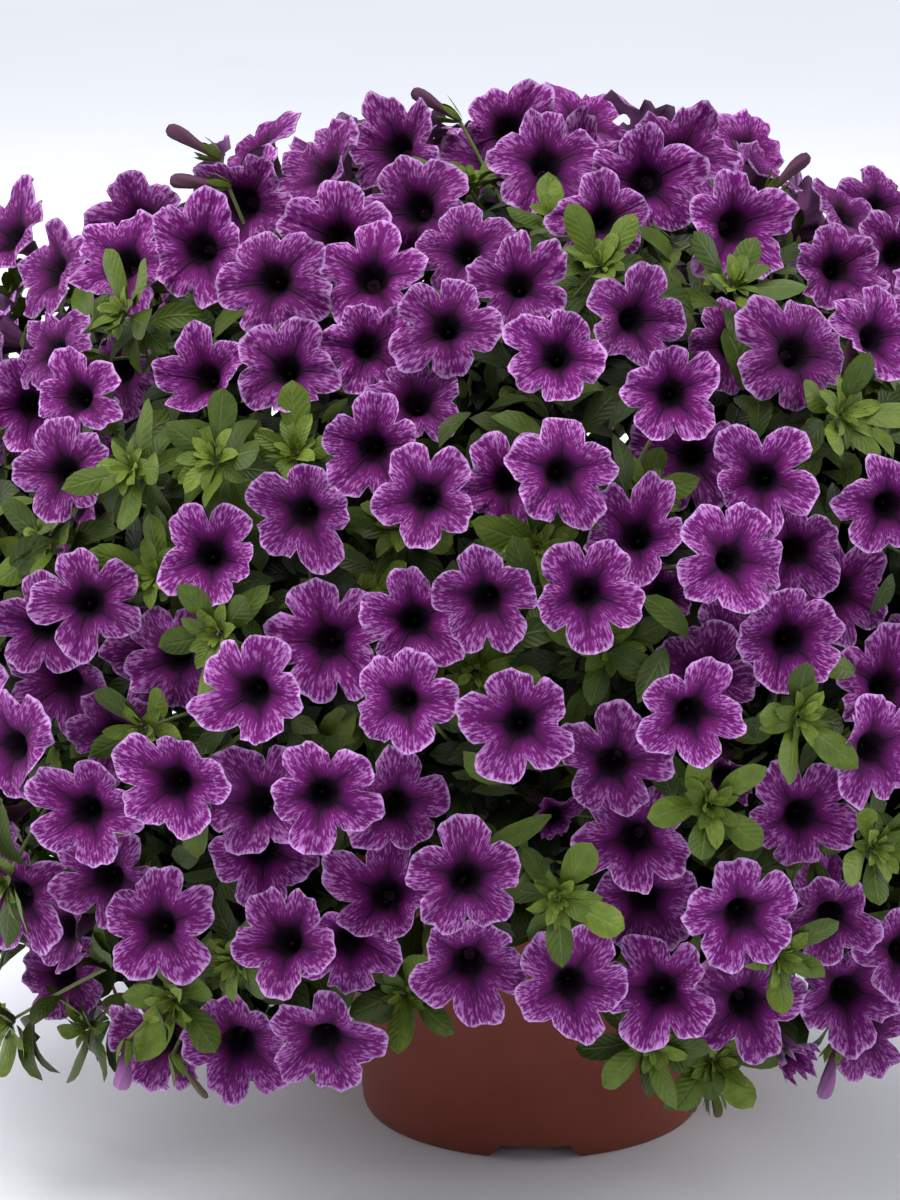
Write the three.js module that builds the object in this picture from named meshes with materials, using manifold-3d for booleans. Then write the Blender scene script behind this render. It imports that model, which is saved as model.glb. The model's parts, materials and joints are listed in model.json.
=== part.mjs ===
// A trailing petunia in full bloom, in a round plastic bowl pot.
// Millimetres, +Z up. The origin is the centre of the pot's foot, on the surface it stands on, and the front
// is -Y. The plant is many leafy stems. Each stands in its own hole in the potting soil, arches out, and ends
// in a dense head with tufts of leaves and with blooms on stalks. One growth rule places them, and keeps each
// clear of the rest.
import * as THREE from "three";
import { mergeVertices } from "three/addons/utils/BufferGeometryUtils.js";
import Module from "manifold-3d";

const wasm = await Module();
wasm.setup();

// ---- Driving dimensions ----

const POT = {
  footRadius: 82,
  height: 150,
  wallTopRadius: 99.5,
  lipRadius: 107.5,
  lipDepth: 12,
  wall: 2.2,
  floor: 3,
};
const POT_SIDES = 30;
const GROOVE = { count: 3, baseWidth: 46, topWidth: 33, height: 7, innerEnd: 36 };
const DRAIN = { radius: 5, at: 52 };
const SOIL = { top: 136, gap: 0.3 };
const STEM = { radius: 3.4, sides: 3, steps: 3, sunk: 25, holeWidth: 8, spread: 81, rise: 5 };

// The blooms lie on a slightly squashed ball. Its lower edge is raised at the front, so that the pot shows.
const MOUND = { x: -15, z: 245, radius: 306, halfHeight: 228 };
const EDGE = { lower: 141, front: 114, frontWidth: 27 };
const SHOOTS = 35;
const BLOOMS = 209;
const TUFTS = 70;
const GOLDEN_ANGLE = Math.PI * (3 - Math.sqrt(5));

const CORE = { radius: 39, halfLength: 44, ringAt: 20, depth: 76, foot: 15, sides: 4 };
const LEAF = { length: 30, width: 12.6, ridge: 2.2, count: 5, ring: 4.5, enough: 3.1 };
const BLOOM = { radius: 25, notch: 0.67, throatDrop: 9, neck: 5.5, neckDrop: 13 };
const LOBES = 5;
const TUBE_SIDES = 3;
const BACKING = 50;
const LEAST_STRAIGHT = 0.35;
const TURNED = [0.2, 0.65];
const CLEARANCE = 1.6;
const CELL = 40;
const FLOOR_CLEARANCE = 14;

// The blooms and the leaf tufts that face the front, from the foremost to those half hidden: across and up
// on the upright plane through the pot's axis, as they line up with it from the viewpoint. A third number is
// how far that bloom turns to the viewpoint.
const VIEWPOINT = [-40, -1886, 722];
const FRONT_VIEW = { left: -262, right: 182 };
const FRONT_BLOOMS = [
  [-66, 469], [-157, 420], [-123, 406], [-93, 426], [-13, 476], [94, 431], [123, 372], [64, 352],
  [10, 370], [-8, 405], [-42, 384], [-78, 374], [-117, 364], [-156, 360], [-228, 374], [-223, 315],
  [-110, 294], [-52, 302], [13, 314], [107, 311], [168, 297], [-154, 274], [-24, 252], [95, 272],
  [122, 232], [76, 195], [-7, 191], [-135, 206], [-212, 251], [-216, 147], [-101, 155], [38, 170],
  [49, 133], [165, 178], [130, 144], [-32, 113], [-121, 82], [-182, 89], [19, 58], [102, 93], [-31, 68],
  [-144, 27], [-108, 16], [62, 56], [105, 48], [-186, 433], [-131, 468, 0], [-246, 428, 0], [-100, 459],
  [22, 482], [5, 462], [68, 465], [51, 452], [99, 468], [141, 412], [146, 438, 0], [-33, 420], [47, 387],
  [93, 375], [160, 379], [-216, 351], [-196, 363], [-237, 346], [-77, 325], [-19, 309], [70, 315],
  [25, 255], [-234, 239], [-171, 223], [-57, 242], [55, 272], [124, 276], [66, 239], [139, 257],
  [169, 210], [-252, 179], [-173, 161], [-141, 152], [-66, 149], [-130, 127], [-68, 111], [-89, 79],
  [58, 95], [154, 54], [-179, 30], [-207, 112], [-251, 103], [-232, 198], [-106, 231],
  [-213, 299], [-221, 339], [-193, 415], [-227, 411, 0], [-77, 408], [-56, 440], [-56, 349], [-130, 454],
  [-12, 449], [19, 452], [32, 434], [160, 441], [95, 229], [165, 225], [-201, 184], [-101, 202],
  [-230, 63], [-242, 87], [145, 92], [172, 21], [-165, 251], [-245, 339], [169, 418],
  [175, 76],
];
const FRONT_TUFTS = [
  [-192, 390], [-190, 316], [-151, 320], [-113, 323], [-232, 281], [-193, 264], [-103, 252], [-74, 269],
  [-150, 235], [-180, 188], [-28, 216], [-52, 231], [-74, 203], [36, 228], [6, 428], [30, 412],
  [92, 403], [-31, 449], [159, 358], [144, 342], [44, 291], [1, 278], [127, 194], [99, 111], [85, 150],
  [142, 74], [165, 129], [12, 103], [58, 28], [86, 14], [166, 89], [-122, 42], [-174, 51],
  [-217, 36], [-251, 34], [-159, 71], [-62, 54],
];

const degrees = (value) => (value * Math.PI) / 180;

// ---- Vectors, as [x, y, z] ----

const add = (a, b) => [a[0] + b[0], a[1] + b[1], a[2] + b[2]];
const sub = (a, b) => [a[0] - b[0], a[1] - b[1], a[2] - b[2]];
const scale = (a, k) => [a[0] * k, a[1] * k, a[2] * k];
const times = (a, b) => [a[0] * b[0], a[1] * b[1], a[2] * b[2]];
const dot = (a, b) => a[0] * b[0] + a[1] * b[1] + a[2] * b[2];
const cross = (a, b) => [
  a[1] * b[2] - a[2] * b[1],
  a[2] * b[0] - a[0] * b[2],
  a[0] * b[1] - a[1] * b[0],
];
const size = (a) => Math.sqrt(dot(a, a));
const unit = (a) => scale(a, 1 / size(a));
const mix = (a, b, t) => add(scale(a, 1 - t), scale(b, t));
const clamp = (value, low, high) => Math.min(high, Math.max(low, value));

// A point at a distance r from a vertical axis, on the bearing azimuth; -Y is bearing 0, +X is 90 degrees.
const around = (r, azimuth, z) => [r * Math.sin(azimuth), -r * Math.cos(azimuth), z];

// A direction leaning `polar` away from straight up, on the bearing azimuth.
const leaning = (polar, azimuth) => around(Math.sin(polar), azimuth, Math.cos(polar));

// A frame with the direction z, and with x turned by `roll` from level.
function frameOf(z, roll) {
  const level = Math.abs(z[2]) > 0.99 ? [1, 0, 0] : unit(cross([0, 0, 1], z));
  const upward = cross(z, level);
  const x = add(scale(level, Math.cos(roll)), scale(upward, Math.sin(roll)));
  return { x, y: cross(z, x), z };
}

const place = (frame, origin, x, y, z) =>
  add(origin, add(scale(frame.x, x), add(scale(frame.y, y), scale(frame.z, z))));

const placeRound = (frame, origin, r, turn, z) =>
  place(frame, origin, r * Math.cos(turn), r * Math.sin(turn), z);

const upTo = (count) => Array.from({ length: count }, (_, i) => i);

// ---- Seeded draws: the same numbers every time ----

function seeded(seed) {
  let state = (Math.imul(seed, 2654435761) + 12345) >>> 0;
  return (low, high) => {
    state = (Math.imul(state, 1664525) + 1013904223) >>> 0;
    return low + ((high - low) * state) / 2 ** 32;
  };
}

// ---- Room: what grows is covered with beads, and nothing new may touch a bead ----

const room = new Map();
const cellOf = (p) => p.map((value) => Math.floor(value / CELL));

function occupy(beads, owner, isBlade) {
  for (const bead of beads) {
    const key = cellOf(bead.at).join();
    if (!room.has(key)) room.set(key, []);
    room.get(key).push({ at: bead.at, radius: bead.radius, owner, isBlade });
  }
}

// True if there is room for the beads. The stem, core and stalks of one shoot may meet, and blades touch
// nothing.
function isClear(beads, owner, isBlade) {
  for (const bead of beads) {
    if (bead.at[2] - bead.radius < FLOOR_CLEARANCE - 4) return false;
    const [i, j, k] = cellOf(bead.at);
    for (let a = i - 1; a <= i + 1; a++)
      for (let b = j - 1; b <= j + 1; b++)
        for (let c = k - 1; c <= k + 1; c++)
          for (const other of room.get([a, b, c].join()) ?? []) {
            if (other.owner === owner && !isBlade && !other.isBlade) continue;
            const reach = bead.radius + other.radius + CLEARANCE;
            const apart = sub(bead.at, other.at);
            if (dot(apart, apart) < reach * reach) return false;
          }
  }
  return true;
}

function beadsAlong(points, radii, pitch) {
  const beads = [];
  for (let i = 0; i + 1 < points.length; i++) {
    const count = Math.max(1, Math.ceil(size(sub(points[i + 1], points[i])) / pitch));
    for (let j = 0; j < count; j++) {
      const t = j / count;
      beads.push({ at: mix(points[i], points[i + 1], t), radius: radii[i] * (1 - t) + radii[i + 1] * t });
    }
  }
  beads.push({ at: points.at(-1), radius: radii.at(-1) });
  return beads;
}

// ---- Places on the mound ----

// How far round from the top the mound goes, on this bearing.
function lowerEdgeAt(azimuth) {
  const turn = Math.atan2(Math.sin(azimuth), Math.cos(azimuth)) / degrees(EDGE.frontWidth);
  return degrees(EDGE.lower - (EDGE.lower - EDGE.front) * Math.exp(-turn * turn));
}

// Places spread evenly over the mound.
function evenSites(count, turn) {
  return upTo(count).map((i) => {
    const azimuth = i * GOLDEN_ANGLE + turn;
    const share = (i + 0.5) / count;
    return { azimuth, share, polar: Math.acos(1 - share * (1 - Math.cos(lowerEdgeAt(azimuth)))) };
  });
}

// The point at a site, raised above the mound or sunk in it.
function onMound(polar, azimuth, rise) {
  const point = around((MOUND.radius + rise) * Math.sin(polar), azimuth, 0);
  return add(point, [MOUND.x, 0, MOUND.z + (MOUND.halfHeight + rise) * Math.cos(polar)]);
}

// The point of the raised or sunk mound that lines up with a place of the upright plane, seen from the
// viewpoint. Where the line of sight misses the mound, it is the place where it comes nearest.
function seenOnMound(across, up, rise) {
  const sight = sub([across, 0, up], VIEWPOINT);
  const squash = [1 / (MOUND.radius + rise), 1 / (MOUND.radius + rise), 1 / (MOUND.halfHeight + rise)];
  const eye = times(sub(VIEWPOINT, [MOUND.x, 0, MOUND.z]), squash);
  const ray = times(sight, squash);
  const a = dot(ray, ray);
  const b = dot(eye, ray);
  const c = dot(eye, eye) - 1;
  return add(VIEWPOINT, scale(sight, (-b - Math.sqrt(Math.max(0, b * b - a * c))) / a));
}

function siteAt(point) {
  const [x, y, z] = sub(point, [MOUND.x, 0, MOUND.z]);
  const polar = Math.atan2(Math.sqrt(x * x + y * y) / MOUND.radius, z / MOUND.halfHeight);
  return { polar, azimuth: Math.atan2(x, -y) };
}

// True on the side that the front lists fill.
function isInFront(point) {
  const squash = [1, 1, (MOUND.radius / MOUND.halfHeight) ** 2];
  const outward = unit(times(sub(point, [MOUND.x, 0, MOUND.z]), squash));
  const sight = sub(point, VIEWPOINT);
  const across = VIEWPOINT[0] + (sight[0] * -VIEWPOINT[1]) / sight[1];
  return dot(outward, unit(sight)) < -0.05 && across > FRONT_VIEW.left && across < FRONT_VIEW.right;
}

// Where blooms or tufts grow: those listed for the front, then even ones on the rest. Each is a function of
// a shift sideways, a shift up and a rise.
function homesOf(listed, count, turn) {
  const front = listed.map(
    ([across, up]) =>
      (side, lift, rise) =>
        seenOnMound(across + side, up + lift, rise),
  );
  const rest = evenSites(count, turn)
    .filter(({ polar, azimuth }) => !isInFront(onMound(polar, azimuth, 0)))
    .map(({ polar, azimuth }) => (side, lift, rise) => {
      const level = MOUND.radius * Math.max(0.2, Math.sin(polar));
      return onMound(polar - lift / MOUND.radius, azimuth + side / level, rise);
    });
  return [...front, ...rest];
}

// The shifts that a bloom or tuft tries in turn until it has room: first deeper, then to one side.
const SHIFTS = [0, 7, 14, 22, 30, 38].flatMap((reach) =>
  upTo(reach ? 6 : 1).flatMap((turn) =>
    [0, 10, 20, 30, 40, 50].map((sink) => ({
      side: reach * Math.cos((turn * Math.PI) / 3),
      lift: reach * Math.sin((turn * Math.PI) / 3),
      sink,
    })),
  ),
);

// ---- The growth rule ----

// A stem's line: straight up out of the soil, then one arch to the middle of its core.
function growShoot({ azimuth, polar, share }, index) {
  const rootRadius = STEM.spread * Math.sqrt(share);
  const over = clamp((polar - degrees(95)) / degrees(46), 0, 1);
  const core = onMound(polar, azimuth, -CORE.depth + 28 * over);
  const headRadius = size([core[0], core[1], 0]);
  const bearing = Math.atan2(core[0], -core[1]);
  const root = around(rootRadius, bearing, SOIL.top - STEM.sunk);
  const start = around(rootRadius, bearing, SOIL.top + STEM.rise);
  const bendRadius = rootRadius + 0.5 * (headRadius - rootRadius) + 20 * over;
  const climb = 0.6 * Math.max(0, core[2] - SOIL.top - 60);
  const bend = around(bendRadius, bearing, SOIL.top + 60 + climb + 42 * over);
  const arch = upTo(STEM.steps).map((i) => {
    const t = (i + 1) / STEM.steps;
    return mix(mix(start, bend, t), mix(bend, core, t), t);
  });
  const axis = leaning(Math.min(polar, degrees(110)), azimuth);
  const line = [root, start, ...arch];
  const shoot = { index, core, frame: frameOf(axis, 0), line, blooms: [], tufts: [] };
  occupy(beadsAlong(shoot.line, shoot.line.map(() => STEM.radius), 6), index, false);
  occupy(coreBeads(shoot), index, false);
  return shoot;
}

// Beads over the core's surface, and inside it.
function coreBeads({ core, frame }) {
  return upTo(60).map((i) => {
    const z = 1 - (2 * (i % 40) + 1) / 40;
    const r = Math.sqrt(1 - z * z);
    const shell = i < 40 ? 1 : 0.5;
    const at = placeRound(
      frame,
      core,
      shell * (CORE.radius - 8) * r,
      i * GOLDEN_ANGLE,
      shell * (CORE.halfLength - 12) * z,
    );
    return { at, radius: 9 };
  });
}

// The shoot whose core is nearest to a point well behind a bloom or tuft.
function shootBehind(shoots, frame, centre) {
  const at = placeRound(frame, centre, 0, 0, -BACKING);
  const distance = ({ core }) => size(sub(core, at));
  return shoots.reduce((best, shoot) => (distance(shoot) < distance(best) ? shoot : best));
}

// True if the stalk leaves the back of what it carries, and not its side.
const isBehind = (frame, at, foot) => dot(frame.z, unit(sub(at, foot))) > LEAST_STRAIGHT;

// A stalk's foot, well inside the core.
const footOf = (shoot, at) => add(shoot.core, scale(unit(sub(at, shoot.core)), CORE.foot));

function bloomBeads({ centre, frame, radius }) {
  const throat = { at: placeRound(frame, centre, 0, 0, -7), radius: 7 };
  const rim = upTo(LOBES * 3).map((i) => {
    const reach = i % 3 === 1 ? 0.62 : 0.87;
    const turn = (i * 2 * Math.PI) / LOBES / 3;
    return { at: placeRound(frame, centre, reach * radius, turn, -1), radius: 3.4 };
  });
  const middle = upTo(8).map((i) => ({
    at: placeRound(frame, centre, 0.5 * radius, (i * Math.PI) / 4, -4.2),
    radius: 5.2,
  }));
  return [throat, ...rim, ...middle];
}

// A bloom faces outwards, but never quite up or much below level. Those listed for the front turn partly to
// the viewpoint.
function growBloom(home, index, shoots) {
  const draw = seeded(1000 + index);
  const radius = BLOOM.radius * draw(0.88, 1.08);
  const roll = draw(0, 2 * Math.PI);
  const tilt = draw(-0.2, 0.2);
  const swing = draw(-0.25, 0.25);
  const turned = index < FRONT_BLOOMS.length ? (FRONT_BLOOMS[index][2] ?? draw(...TURNED)) : 0;
  const rise = index < FRONT_BLOOMS.length ? 6 : draw(-12, 10);
  for (const { side, lift, sink } of SHIFTS) {
    const centre = home(side, lift, rise - sink);
    const { polar, azimuth } = siteAt(centre);
    const lean = Math.min(degrees(38) + 0.58 * polar, degrees(102)) + tilt;
    const toViewer = unit(sub(VIEWPOINT, centre));
    const frame = frameOf(unit(mix(leaning(lean, azimuth * 0.92 + swing), toViewer, turned)), roll);
    const neck = placeRound(frame, centre, 0, 0, -BLOOM.neckDrop);
    const shoot = shootBehind(shoots, frame, centre);
    const bloom = { centre, frame, radius, neck, foot: footOf(shoot, neck), index };
    const beads = bloomBeads(bloom);
    const stalk = beadsAlong([neck, bloom.foot], [5, 1.5], 6);
    if (!isBehind(frame, neck, bloom.foot)) continue;
    if (!isClear(beads, shoot.index, true) || !isClear(stalk, shoot.index, false)) continue;
    occupy(beads, shoot.index, true);
    occupy(stalk, shoot.index, false);
    shoot.blooms.push(bloom);
    return;
  }
}

// A leaf of a tuft: its blade's outline from the tuft's ring, with the edges below its ridge and the tip
// drooping.
function leafOf(centre, frame, turn, climb, length) {
  const out = add(scale(frame.x, Math.cos(turn)), scale(frame.y, Math.sin(turn)));
  const side = cross(frame.z, out);
  const half = (LEAF.width * length) / LEAF.length / 2;
  const along = (reach, height) => add(centre, add(scale(out, reach), scale(frame.z, height)));
  const middle = along(0.55 * length, 0.55 * length * climb - LEAF.ridge);
  return {
    left: add(middle, scale(side, -half)),
    tip: along(length, 0.8 * length * climb),
    right: add(middle, scale(side, half)),
    inner: along(0.3 * length, 0.3 * length * climb),
    middle,
    length,
  };
}

function leafBeads({ left, right, tip, inner, middle }) {
  return [
    { at: inner, radius: 3.6 },
    { at: mix(left, middle, 0.4), radius: 4 },
    { at: mix(right, middle, 0.4), radius: 4 },
    { at: mix(middle, tip, 0.4), radius: 4.2 },
    { at: mix(middle, tip, 0.8), radius: 2.6 },
  ];
}

// Five leaves round the end of a side shoot. Each is as long as it has room for.
function growTuft(home, index, shoots) {
  const draw = seeded(5000 + index);
  const roll = draw(0, 2 * Math.PI);
  const tilt = draw(-0.25, 0.25);
  const climb = upTo(LEAF.count).map(() => draw(0.25, 0.85));
  const stray = upTo(LEAF.count).map(() => draw(-0.2, 0.2));
  const full = upTo(LEAF.count).map(() => LEAF.length * draw(0.85, 1.1));
  for (const { side, lift, sink } of SHIFTS) {
    const centre = home(side, lift, 2 - sink);
    const { polar, azimuth } = siteAt(centre);
    const frame = frameOf(leaning(Math.min(degrees(20) + 0.7 * polar, degrees(95)) + tilt, azimuth), roll);
    const back = placeRound(frame, centre, 0, 0, -3);
    const shoot = shootBehind(shoots, frame, centre);
    const foot = footOf(shoot, back);
    const stalk = beadsAlong([back, foot], [3.5, 1.2], 6);
    if (!isBehind(frame, back, foot)) continue;
    if (!isClear(stalk, shoot.index, false)) continue;
    const leaves = upTo(LEAF.count).map((i) => {
      const turn = (i * 2 * Math.PI) / LEAF.count + stray[i];
      const options = [1, 0.8, 0.62, 0.45].map((k) => leafOf(centre, frame, turn, climb[i], k * full[i]));
      return options.find((leaf) => isClear(leafBeads(leaf), shoot.index, true));
    });
    const total = leaves.reduce((sum, leaf) => sum + (leaf ? leaf.length : -LEAF.length), 0);
    if (total < LEAF.enough * LEAF.length) continue;
    leaves.forEach((leaf) => leaf && occupy(leafBeads(leaf), shoot.index, true));
    occupy(stalk, shoot.index, false);
    shoot.tufts.push({ centre, frame, foot, index, leaves, stray });
    return;
  }
}

// The pot takes room too: its wall from the foot up, and its lip.
function occupyPot() {
  for (const i of upTo(72)) {
    const azimuth = (i * 2 * Math.PI) / 72;
    const foot = around(POT.footRadius - 6, azimuth, 6);
    const shoulder = around(POT.wallTopRadius - 6, azimuth, POT.height - POT.lipDepth);
    occupy(beadsAlong([foot, shoulder], [6, 6], 9), -1, true);
    const lip = [9, 3].map((down) => around(POT.lipRadius - 4, azimuth, POT.height - down));
    occupy(beadsAlong(lip, [5, 5], 6), -1, true);
  }
}

function grow() {
  occupyPot();
  const shoots = evenSites(SHOOTS, 0.4).map(growShoot);
  homesOf(FRONT_BLOOMS, BLOOMS, 1.1).forEach((home, i) => growBloom(home, i, shoots));
  homesOf(FRONT_TUFTS, TUFTS, 2.3).forEach((home, i) => growTuft(home, i, shoots));
  return shoots;
}

// ---- Solids ----

function solid(geometry) {
  const bare = new THREE.BufferGeometry().setAttribute("position", geometry.getAttribute("position"));
  if (geometry.index) bare.setIndex(geometry.index);
  const merged = mergeVertices(bare, 1e-4);
  return new wasm.Manifold(
    new wasm.Mesh({
      numProp: 3,
      vertProperties: merged.getAttribute("position").array,
      triVerts: new Uint32Array(merged.index.array),
    }),
  );
}

function facets(points, faces) {
  const geometry = new THREE.BufferGeometry();
  geometry.setAttribute("position", new THREE.Float32BufferAttribute(points.flat(), 3));
  geometry.setIndex(faces.flat());
  return solid(geometry);
}

function meshOf(name, made, material) {
  const found = made.getMesh();
  const geometry = new THREE.BufferGeometry();
  geometry.setAttribute("position", new THREE.Float32BufferAttribute(found.vertProperties, 3));
  geometry.setIndex(new THREE.Uint32BufferAttribute(found.triVerts, 1));
  geometry.computeVertexNormals();
  const mesh = new THREE.Mesh(geometry, material);
  mesh.name = name;
  return mesh;
}

const join = (solids) => solids.reduce((all, next) => all.add(next));

// The main body of a join, without its loose scraps and with its sealed hollows filled.
const mainBody = (made) =>
  made.decompose().reduce((best, next) => (next.volume() > best.volume() ? next : best));

const ringOf = (start, count) => upTo(count).map((i) => start + i);
const flipped = (faces) => faces.map(([a, b, c]) => [a, c, b]);
const fan = (ring, point) => ring.map((a, i) => [a, ring[(i + 1) % ring.length], point]);
const band = (first, second) =>
  first.flatMap((a, i) => {
    const j = (i + 1) % first.length;
    return [
      [a, first[j], second[j]],
      [a, second[j], second[i]],
    ];
  });

// A stem of flat facets along its line, closed at both ends.
function stemSolid(line) {
  const { sides, radius } = STEM;
  const points = line.flatMap((at, i) => {
    const ahead = unit(sub(line[Math.min(i + 1, line.length - 1)], line[Math.max(i - 1, 0)]));
    const level = unit(cross(ahead, [0.13, 0.99, 0.05]));
    const frame = { x: level, y: cross(ahead, level), z: ahead };
    return upTo(sides).map((j) => placeRound(frame, at, radius, (j * 2 * Math.PI) / sides, 0));
  });
  const rings = line.map((_, i) => ringOf(i * sides, sides));
  const skin = rings.slice(1).flatMap((ring, i) => band(rings[i], ring));
  const last = rings.at(-1);
  return facets(points, [...skin, [rings[0][0], rings[0][2], rings[0][1]], [last[0], last[1], last[2]]]);
}

function coreSolid({ core, frame }) {
  const { radius, halfLength, ringAt, sides } = CORE;
  const ring = (z) => upTo(sides).map((i) => placeRound(frame, core, radius, (i * 2 * Math.PI) / sides, z));
  const ends = [placeRound(frame, core, 0, 0, -halfLength), placeRound(frame, core, 0, 0, halfLength)];
  const low = ringOf(2, sides);
  const high = ringOf(2 + sides, sides);
  const faces = [...flipped(fan(low, 0)), ...band(low, high), ...fan(high, 1)];
  return facets([...ends, ...ring(-ringAt), ...ring(ringAt)], faces);
}

// A star of ridged leaves round a small crown, with a stalk that narrows down to its foot.
function tuftSolid({ centre, frame, foot, leaves, stray }) {
  const points = [placeRound(frame, centre, 0, 0, 3), foot];
  const faces = [];
  const crown = leaves.map((_, i) => {
    const turn = ((i - 0.5) * 2 * Math.PI) / LEAF.count;
    return points.push(placeRound(frame, centre, LEAF.ring, turn, -1)) - 1;
  });
  leaves.forEach((leaf, i) => {
    const from = crown[i];
    const to = crown[(i + 1) % LEAF.count];
    faces.push([to, from, 1]);
    if (!leaf) {
      faces.push([from, to, 0]);
      return;
    }
    const left = points.push(leaf.left) - 1;
    const tip = points.push(leaf.tip) - 1;
    const right = points.push(leaf.right) - 1;
    faces.push([0, from, left], [0, left, tip], [0, tip, right], [0, right, to]);
    faces.push([from, to, left], [left, to, right], [left, right, tip]);
  });
  return facets(points, faces);
}

// The bearing of a point of a bloom's rim. Point 1 is in a notch, and so is every perLobe-th after it.
const rimTurn = (i, perLobe) => ((1 / 3 + (i - 1) / perLobe) * 2 * Math.PI) / LOBES;

// A funnel with five lobes, and behind it a tube that narrows down to its foot. A bloom of the front has two
// points on each lobe, drawn together a little, and the others have one.
function bloomSolid({ centre, frame, radius, neck, foot, index }) {
  const perLobe = index < FRONT_BLOOMS.length ? 3 : 2;
  const count = LOBES * perLobe;
  const gather = perLobe === 3 ? [-0.1, 0, 0.1] : [0, 0];
  const rimPoints = upTo(count).map((i) => {
    const inNotch = i % perLobe === 1;
    const turn = rimTurn(i + gather[i % perLobe], perLobe);
    return placeRound(frame, centre, inNotch ? BLOOM.notch * radius : radius, turn, inNotch ? 0.5 : -1);
  });
  const throat = placeRound(frame, centre, 0, 0, -BLOOM.throatDrop);
  const tubePoints = upTo(TUBE_SIDES).map((i) => {
    const turn = rimTurn(((i + 0.5) * count) / TUBE_SIDES - 0.5, perLobe);
    return placeRound(frame, neck, BLOOM.neck, turn, 0);
  });
  const rim = ringOf(0, count);
  const tube = ringOf(count + 2, TUBE_SIDES);
  const nearest = (i) => tube[Math.floor(((i % count) * TUBE_SIDES) / count)];
  const behind = rim.map((a, i) => [rim[(i + 1) % count], a, nearest(i)]);
  const seams = rim
    .filter((i) => nearest(i) !== nearest(i + 1))
    .map((i) => [(i + 1) % count, nearest(i), nearest(i + 1)]);
  const points = [...rimPoints, throat, foot, ...tubePoints];
  return facets(points, [...fan(rim, count), ...behind, ...seams, ...flipped(fan(tube, count + 1))]);
}

function shootSolid(shoot) {
  const pieces = [coreSolid(shoot), stemSolid(shoot.line)];
  return mainBody(join([...pieces, ...shoot.tufts.map(tuftSolid), ...shoot.blooms.map(bloomSolid)]));
}

// ---- Pot and soil ----

const upright = (geometry) => geometry.rotateX(Math.PI / 2);
const lathe = (profile) =>
  solid(upright(new THREE.LatheGeometry(profile.map(([r, z]) => new THREE.Vector2(r, z)), POT_SIDES)));
const wallRadius = (z) =>
  POT.footRadius + ((POT.wallTopRadius - POT.footRadius) * z) / (POT.height - POT.lipDepth);

// A groove under the pot from its edge towards the middle, or with `grown` the ridge that covers it inside.
function grooveSolid(index, grown) {
  const half = GROOVE.baseWidth / 2 + grown;
  const top = GROOVE.topWidth / 2 + grown;
  const height = GROOVE.height + grown;
  const section = new THREE.Shape([
    new THREE.Vector2(-half, -1),
    new THREE.Vector2(half, -1),
    new THREE.Vector2(top, height),
    new THREE.Vector2(-top, height),
  ]);
  const depth = POT.footRadius + 20 - GROOVE.innerEnd + grown;
  const run = new THREE.ExtrudeGeometry(section, { depth, bevelEnabled: false });
  run.translate(0, 0, GROOVE.innerEnd - grown);
  upright(run);
  run.rotateZ((index * 2 * Math.PI) / GROOVE.count);
  return solid(run);
}

function drainHole(index) {
  const hole = upright(new THREE.CylinderGeometry(DRAIN.radius, DRAIN.radius, 30, 10));
  hole.translate(...around(DRAIN.at, (index * 2 * Math.PI) / GROOVE.count, 0));
  return solid(hole);
}

const eachGroove = (make) => upTo(GROOVE.count).map(make);

function potSolid() {
  const { height, lipDepth, lipRadius, footRadius, wall, floor } = POT;
  const lipZ = height - lipDepth;
  const shell = lathe([
    [0, 0],
    [footRadius - 1.5, 0],
    [footRadius, 1.5],
    [wallRadius(lipZ), lipZ],
    [lipRadius - 0.6, lipZ + 0.6],
    [lipRadius, height],
    [wallRadius(height) - wall, height],
    [wallRadius(floor) - wall, floor],
    [0, floor],
  ]);
  const inside = lathe([
    [0, 1],
    [wallRadius(1) - wall / 2, 1],
    [wallRadius(60) - wall / 2, 60],
    [0, 60],
  ]);
  const ridges = eachGroove((i) => grooveSolid(i, wall).intersect(inside));
  return join([shell, ...ridges])
    .subtract(join(eachGroove((i) => grooveSolid(i, 0))))
    .subtract(join(eachGroove(drainHole)));
}

function soilSolid(shoots) {
  const low = POT.floor + SOIL.gap;
  const inset = POT.wall + SOIL.gap;
  const fill = lathe([
    [0, low],
    [wallRadius(low) - inset, low],
    [wallRadius(SOIL.top) - inset, SOIL.top],
    [0, SOIL.top],
  ]);
  const holes = shoots.map(({ line: [root] }) => {
    const hole = new THREE.BoxGeometry(STEM.holeWidth, STEM.holeWidth, STEM.sunk * 2);
    hole.translate(root[0], root[1], SOIL.top - SOIL.gap);
    return solid(hole);
  });
  return fill.subtract(join(eachGroove((i) => grooveSolid(i, POT.wall + SOIL.gap)))).subtract(join(holes));
}

// ---- The part ----

const finish = (color, roughness) => new THREE.MeshStandardMaterial({ color, roughness, metalness: 0 });
const terracottaPlastic = finish(0x6e352b, 0.55);
const pottingSoil = finish(0x2b1f18, 1);
const veinedPetals = finish(0x86307f, 0.6);

const shoots = grow();
const part = new THREE.Group();
part.add(meshOf("pot", potSolid(), terracottaPlastic));
part.add(meshOf("potting_soil", soilSolid(shoots), pottingSoil));
for (const shoot of shoots) {
  const number = String(shoot.index + 1).padStart(2, "0");
  part.add(meshOf(`flowering_stem_${number}`, shootSolid(shoot), veinedPetals));
}

export default part;
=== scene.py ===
import json
import math

import bpy
import numpy as np
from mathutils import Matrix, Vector, noise

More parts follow.
